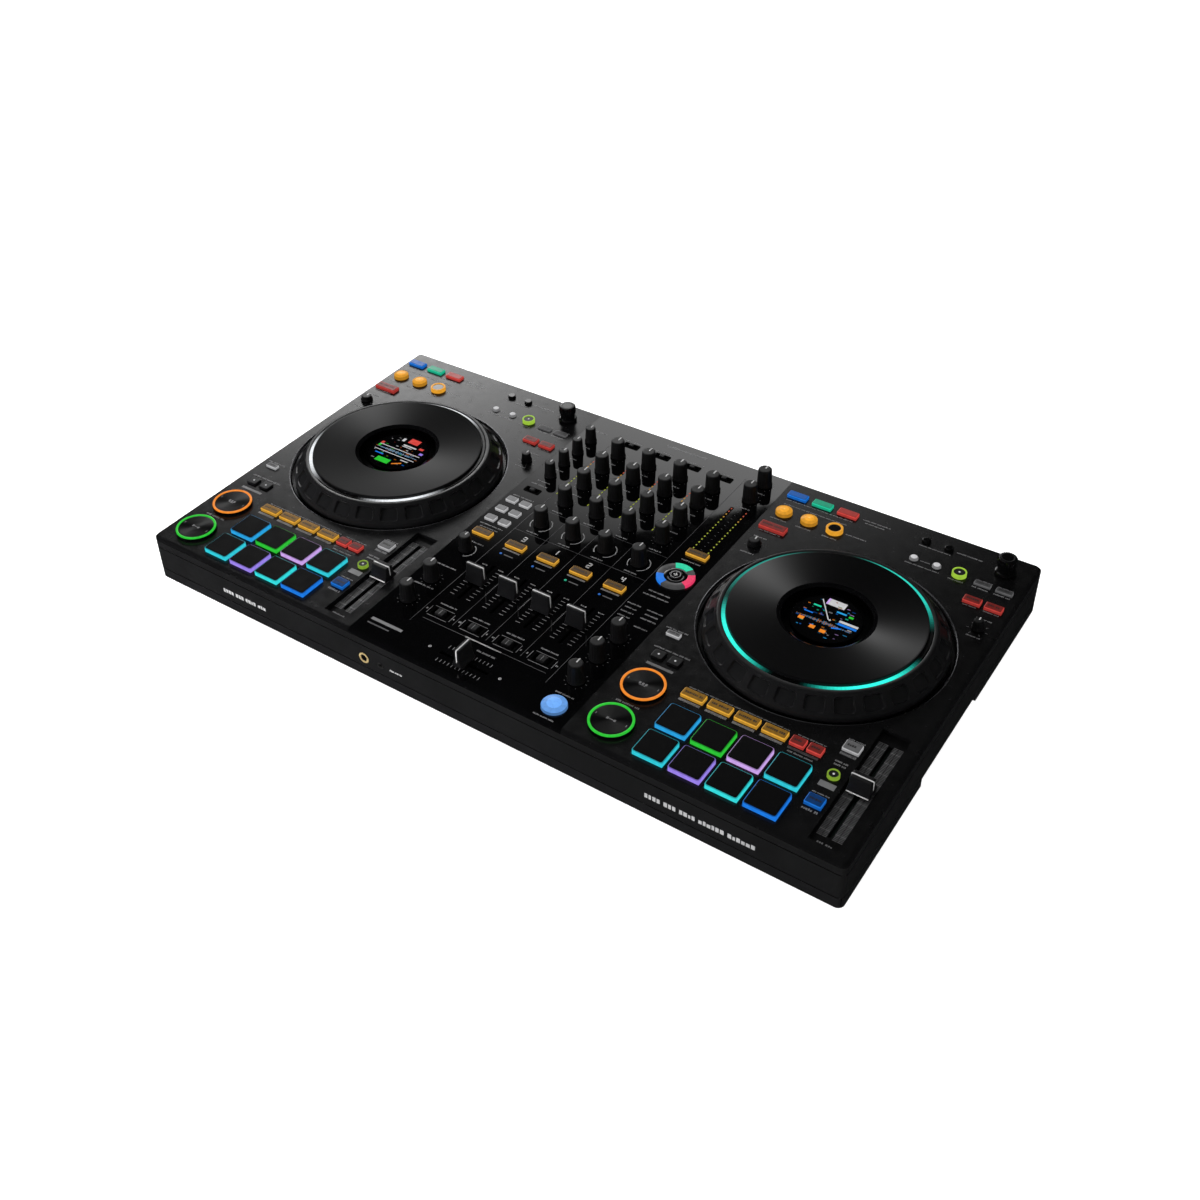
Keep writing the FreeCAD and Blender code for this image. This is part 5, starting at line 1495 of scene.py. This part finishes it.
def build_sockets():
    parts = Shape()
    for x in RCA_PLACES:
        for offset, colour in ((7.0, SOCKET_WHITE), (-7.0, SOCKET_RED)):
            parts.place = facing_back(x, REAR_HEIGHT + offset)
            parts.tube(0, 0, 4.2, 5.6, 0, 1.4, 0.3, colour)
            parts.tube(0, 0, 3.6, 4.15, -4, 7.4, 0.15, NICKEL)
            parts.tube(0, 0, 1.6, 3.5, -4, 5.4, 0.3, SOCKET_PLASTIC)
    round_sockets = [(x, 9.6, True) for x in COMBO_PLACES]
    round_sockets += [(x, 8.2, False) for x in OUTPUT_PLACES]
    for x, radius, combo in round_sockets:
        parts.place = facing_back(x, REAR_HEIGHT)
        parts.tube(0, 0, radius, radius + 1.7, -14, 2.6, 0.5, SOCKET_PLASTIC, count=64)
        square_frame(parts, 24.0, 24.0, radius + 1.0, 0, 1.8)
        parts.disc(0, 0, radius, [(0, -14.5), (0, -13.5)], SOCKET_PLASTIC)
        for corner_x, corner_y in ((-9.4, -9.4), (9.4, 9.4)):
            parts.disc(corner_x, corner_y, 1.7, eased(1.6, 2.5, 0.5), SCREW_STEEL, count=24)
        if combo:
            parts.tube(0, 0, 3.3, 5.2, -13, -2.0, 0.4, NICKEL)
            for angle in (90, 210, 330):
                across, up = 7.2 * math.cos(math.radians(angle)), 7.2 * math.sin(math.radians(angle))
                parts.tube(across, up, 0.9, 1.6, -13, -1.8, 0.2, GOLD, count=20)
            parts.block(0, 10.6, 6.0, 2.6, 0.6, eased(1.4, 3.4, 0.4), CAP_BLACK)
        else:
            for across, up in ((-3.5, -1.5), (3.5, -1.5), (0.0, 3.5)):
                parts.disc(across, up, 1.2, eased(-14, -3.0, 0.6), NICKEL, count=20)
    for x in BOOTH_PLACES:
        parts.place = facing_back(x, REAR_HEIGHT)
        parts.tube(0, 0, 3.2, 5.0, -6, 3.0, 0.3, NICKEL)
        nut = [round_ring(0, 0, radius, z, 6) for radius, z in ((6.9, 0), (6.9, 1.6), (6.5, 2.0))]
        parts.loft(nut, NICKEL)
    for x in USB_PLACES:
        parts.place = facing_back(x, REAR_HEIGHT)
        open_box(parts, 12.0, 11.2, 9.8, 9.0, -14.8, 0.8, NICKEL)
        parts.block(0, 0, 5.6, 3.2, 0.4, [(0, -12.5), (0, -0.6), (0.3, -0.3)], USB_BLUE)
    parts.place = facing_back(INLET_PLACE, REAR_HEIGHT)
    open_box(parts, 28.4, 20.4, 24.8, 16.8, -15.8, 0.4, SOCKET_PLASTIC)
    open_box(parts, 33.0, 24.4, 24.8, 16.8, 0.0, 1.6, SOCKET_PLASTIC)
    for across, up in ((-7.0, 1.5), (7.0, 1.5), (0.0, -2.5)):
        parts.block(across, up, 2.0, 4.0, 0.4, [(0, -15.0), (0, -2.0), (0.5, -1.4)], NICKEL)
    parts.place = facing_back(SWITCH_PLACE, REAR_HEIGHT)
    open_box(parts, 17.0, 21.2, 15.0, 19.0, -13.8, 0.4, SOCKET_PLASTIC)
    open_box(parts, 20.0, 24.4, 15.0, 19.0, 0.0, 1.6, SOCKET_PLASTIC)
    parts.place = Matrix.Identity(4)
    parts.make("rear_sockets", "case", "socket_black", ["connector_sockets"])
    front = Shape()
    for (x, ring, bore), metal in zip(FRONT_JACKS, (GOLD, SOCKET_PLASTIC)):
        front.place = facing_front(x, FRONT_JACK_HEIGHT)
        front.tube(0, 0, bore + 0.35, ring, -3.4, 0.35, 0.5, metal, count=64)
        front.tube(0, 0, bore, bore + 0.6, -14.0, -0.3, 0.1, SOCKET_PLASTIC, count=40)
        front.disc(0, 0, bore + 0.5, [(0, -15.0), (0, -14.0)], SOCKET_PLASTIC)
    for x, length, tall in FRONT_LEGENDS:
        front.place = facing_front(x, FRONT_JACK_HEIGHT)
        words(front, 0.0, 0.0, length, tall, BRIGHT_PRINT, 0.0)
    front.place = Matrix.Identity(4)
    front.make("front_jacks", "case", "socket_black")


def square_frame(shape, width, depth, hole, low, high):
    """A square flange with a round hole."""
    count = 48
    rings = []
    for step in range(count):
        angle = 2 * math.pi * (step + 0.5) / count
        across, up = math.cos(angle), math.sin(angle)
        reach = 1 / max(abs(across) * 2 / width, abs(up) * 2 / depth)
        reach = min(reach, math.hypot(width / 2, depth / 2) - 1.5)
        section = [(hole, low), (reach, low), (reach, high - 0.3), (reach - 0.3, high)]
        section += [(hole + 0.3, high), (hole, high - 0.3)]
        rings.append([(r * across, r * up, z) for r, z in section])
    shape.loft(rings, SOCKET_PLASTIC, wrap=True)


def build_rocker():
    """The mains rocker, leaning to its off side."""
    half = [(-4.0, 5.0), (2.4, 8.7), (3.2, 8.7), (3.6, 8.3), (3.1, 4.0)]
    corners = [(out, -up) for out, up in half] + [(2.9, 0.0)] + half[::-1]
    rocker = Shape()
    lean = Matrix.Rotation(math.radians(-6.0), 4, "X")
    rocker.place = Matrix.Translation((SWITCH_PLACE, BAY_FACE - 1.0, REAR_HEIGHT)) @ lean
    rings = []
    for across, share in ((-7.0, 0.93), (-6.7, 1.0), (6.7, 1.0), (7.0, 0.93)):
        rings.append([(across, out * share, up * share) for out, up in corners])
    rocker.loft(rings, CAP_BLACK)
    rocker.place = rocker.place @ Matrix.Rotation(math.radians(-90), 4, "X")
    rocker.bar(0, 5.2, 1.0, 3.6, 3.0, 3.35, WHITE_LINE)
    rocker.tube(0, -5.2, 1.3, 1.9, 3.0, 3.35, 0.1, WHITE_LINE, count=24)
    rocker.place = Matrix.Identity(4)
    rocker.make("mains_rocker", "power_switch", "switch_black", ["power_switch"])


def build_feet():
    feet = Shape()
    for x, y in FEET:
        section = [(3.5, 0.0), (10.3, 0.0), (11.0, 0.5), (11.6, 3.2), (12.0, 4.6)]
        section += [(12.0, 5.0), (2.0, 5.0), (2.0, 2.2), (3.2, 1.8)]
        feet.turned(x, y, section, RUBBER, count=48)
        feet.disc(x, y, 2.6, [(0.0, 2.3), (0.0, 1.2), (0.6, 0.9)], SCREW_STEEL, count=24)
    feet.make("round_feet", "case", "rubber_black", ["rubber_feet"])


def build_screws():
    """Pan heads with a cross recess, on their shanks."""
    screws = Shape()
    for x, y in SCREWS:
        screws.disc(x, y, 1.5, [(0, 4.9), (0, 14.0)], SCREW_STEEL, count=16)
        section = [(0.9, 5.0), (2.9, 5.0), (2.8, 4.3), (2.2, 3.6), (1.3, 3.4), (0.9, 3.5)]
        screws.turned(x, y, section, SCREW_STEEL, count=24)
        screws.disc(x, y, 1.0, [(0, 4.4), (0, 4.9)], SCREW_STEEL, count=12)
        for turn in range(4):
            angle = math.radians(45 + 90 * turn)
            corner_x, corner_y = x + 0.75 * math.cos(angle), y + 0.75 * math.sin(angle)
            screws.bar(corner_x, corner_y, 0.5, 0.5, 3.6, 4.6, SCREW_STEEL)
    screws.make("chassis_screws", "case", "screw_steel", ["case_screws"])


build_sockets()
build_rocker()
build_feet()
build_screws()
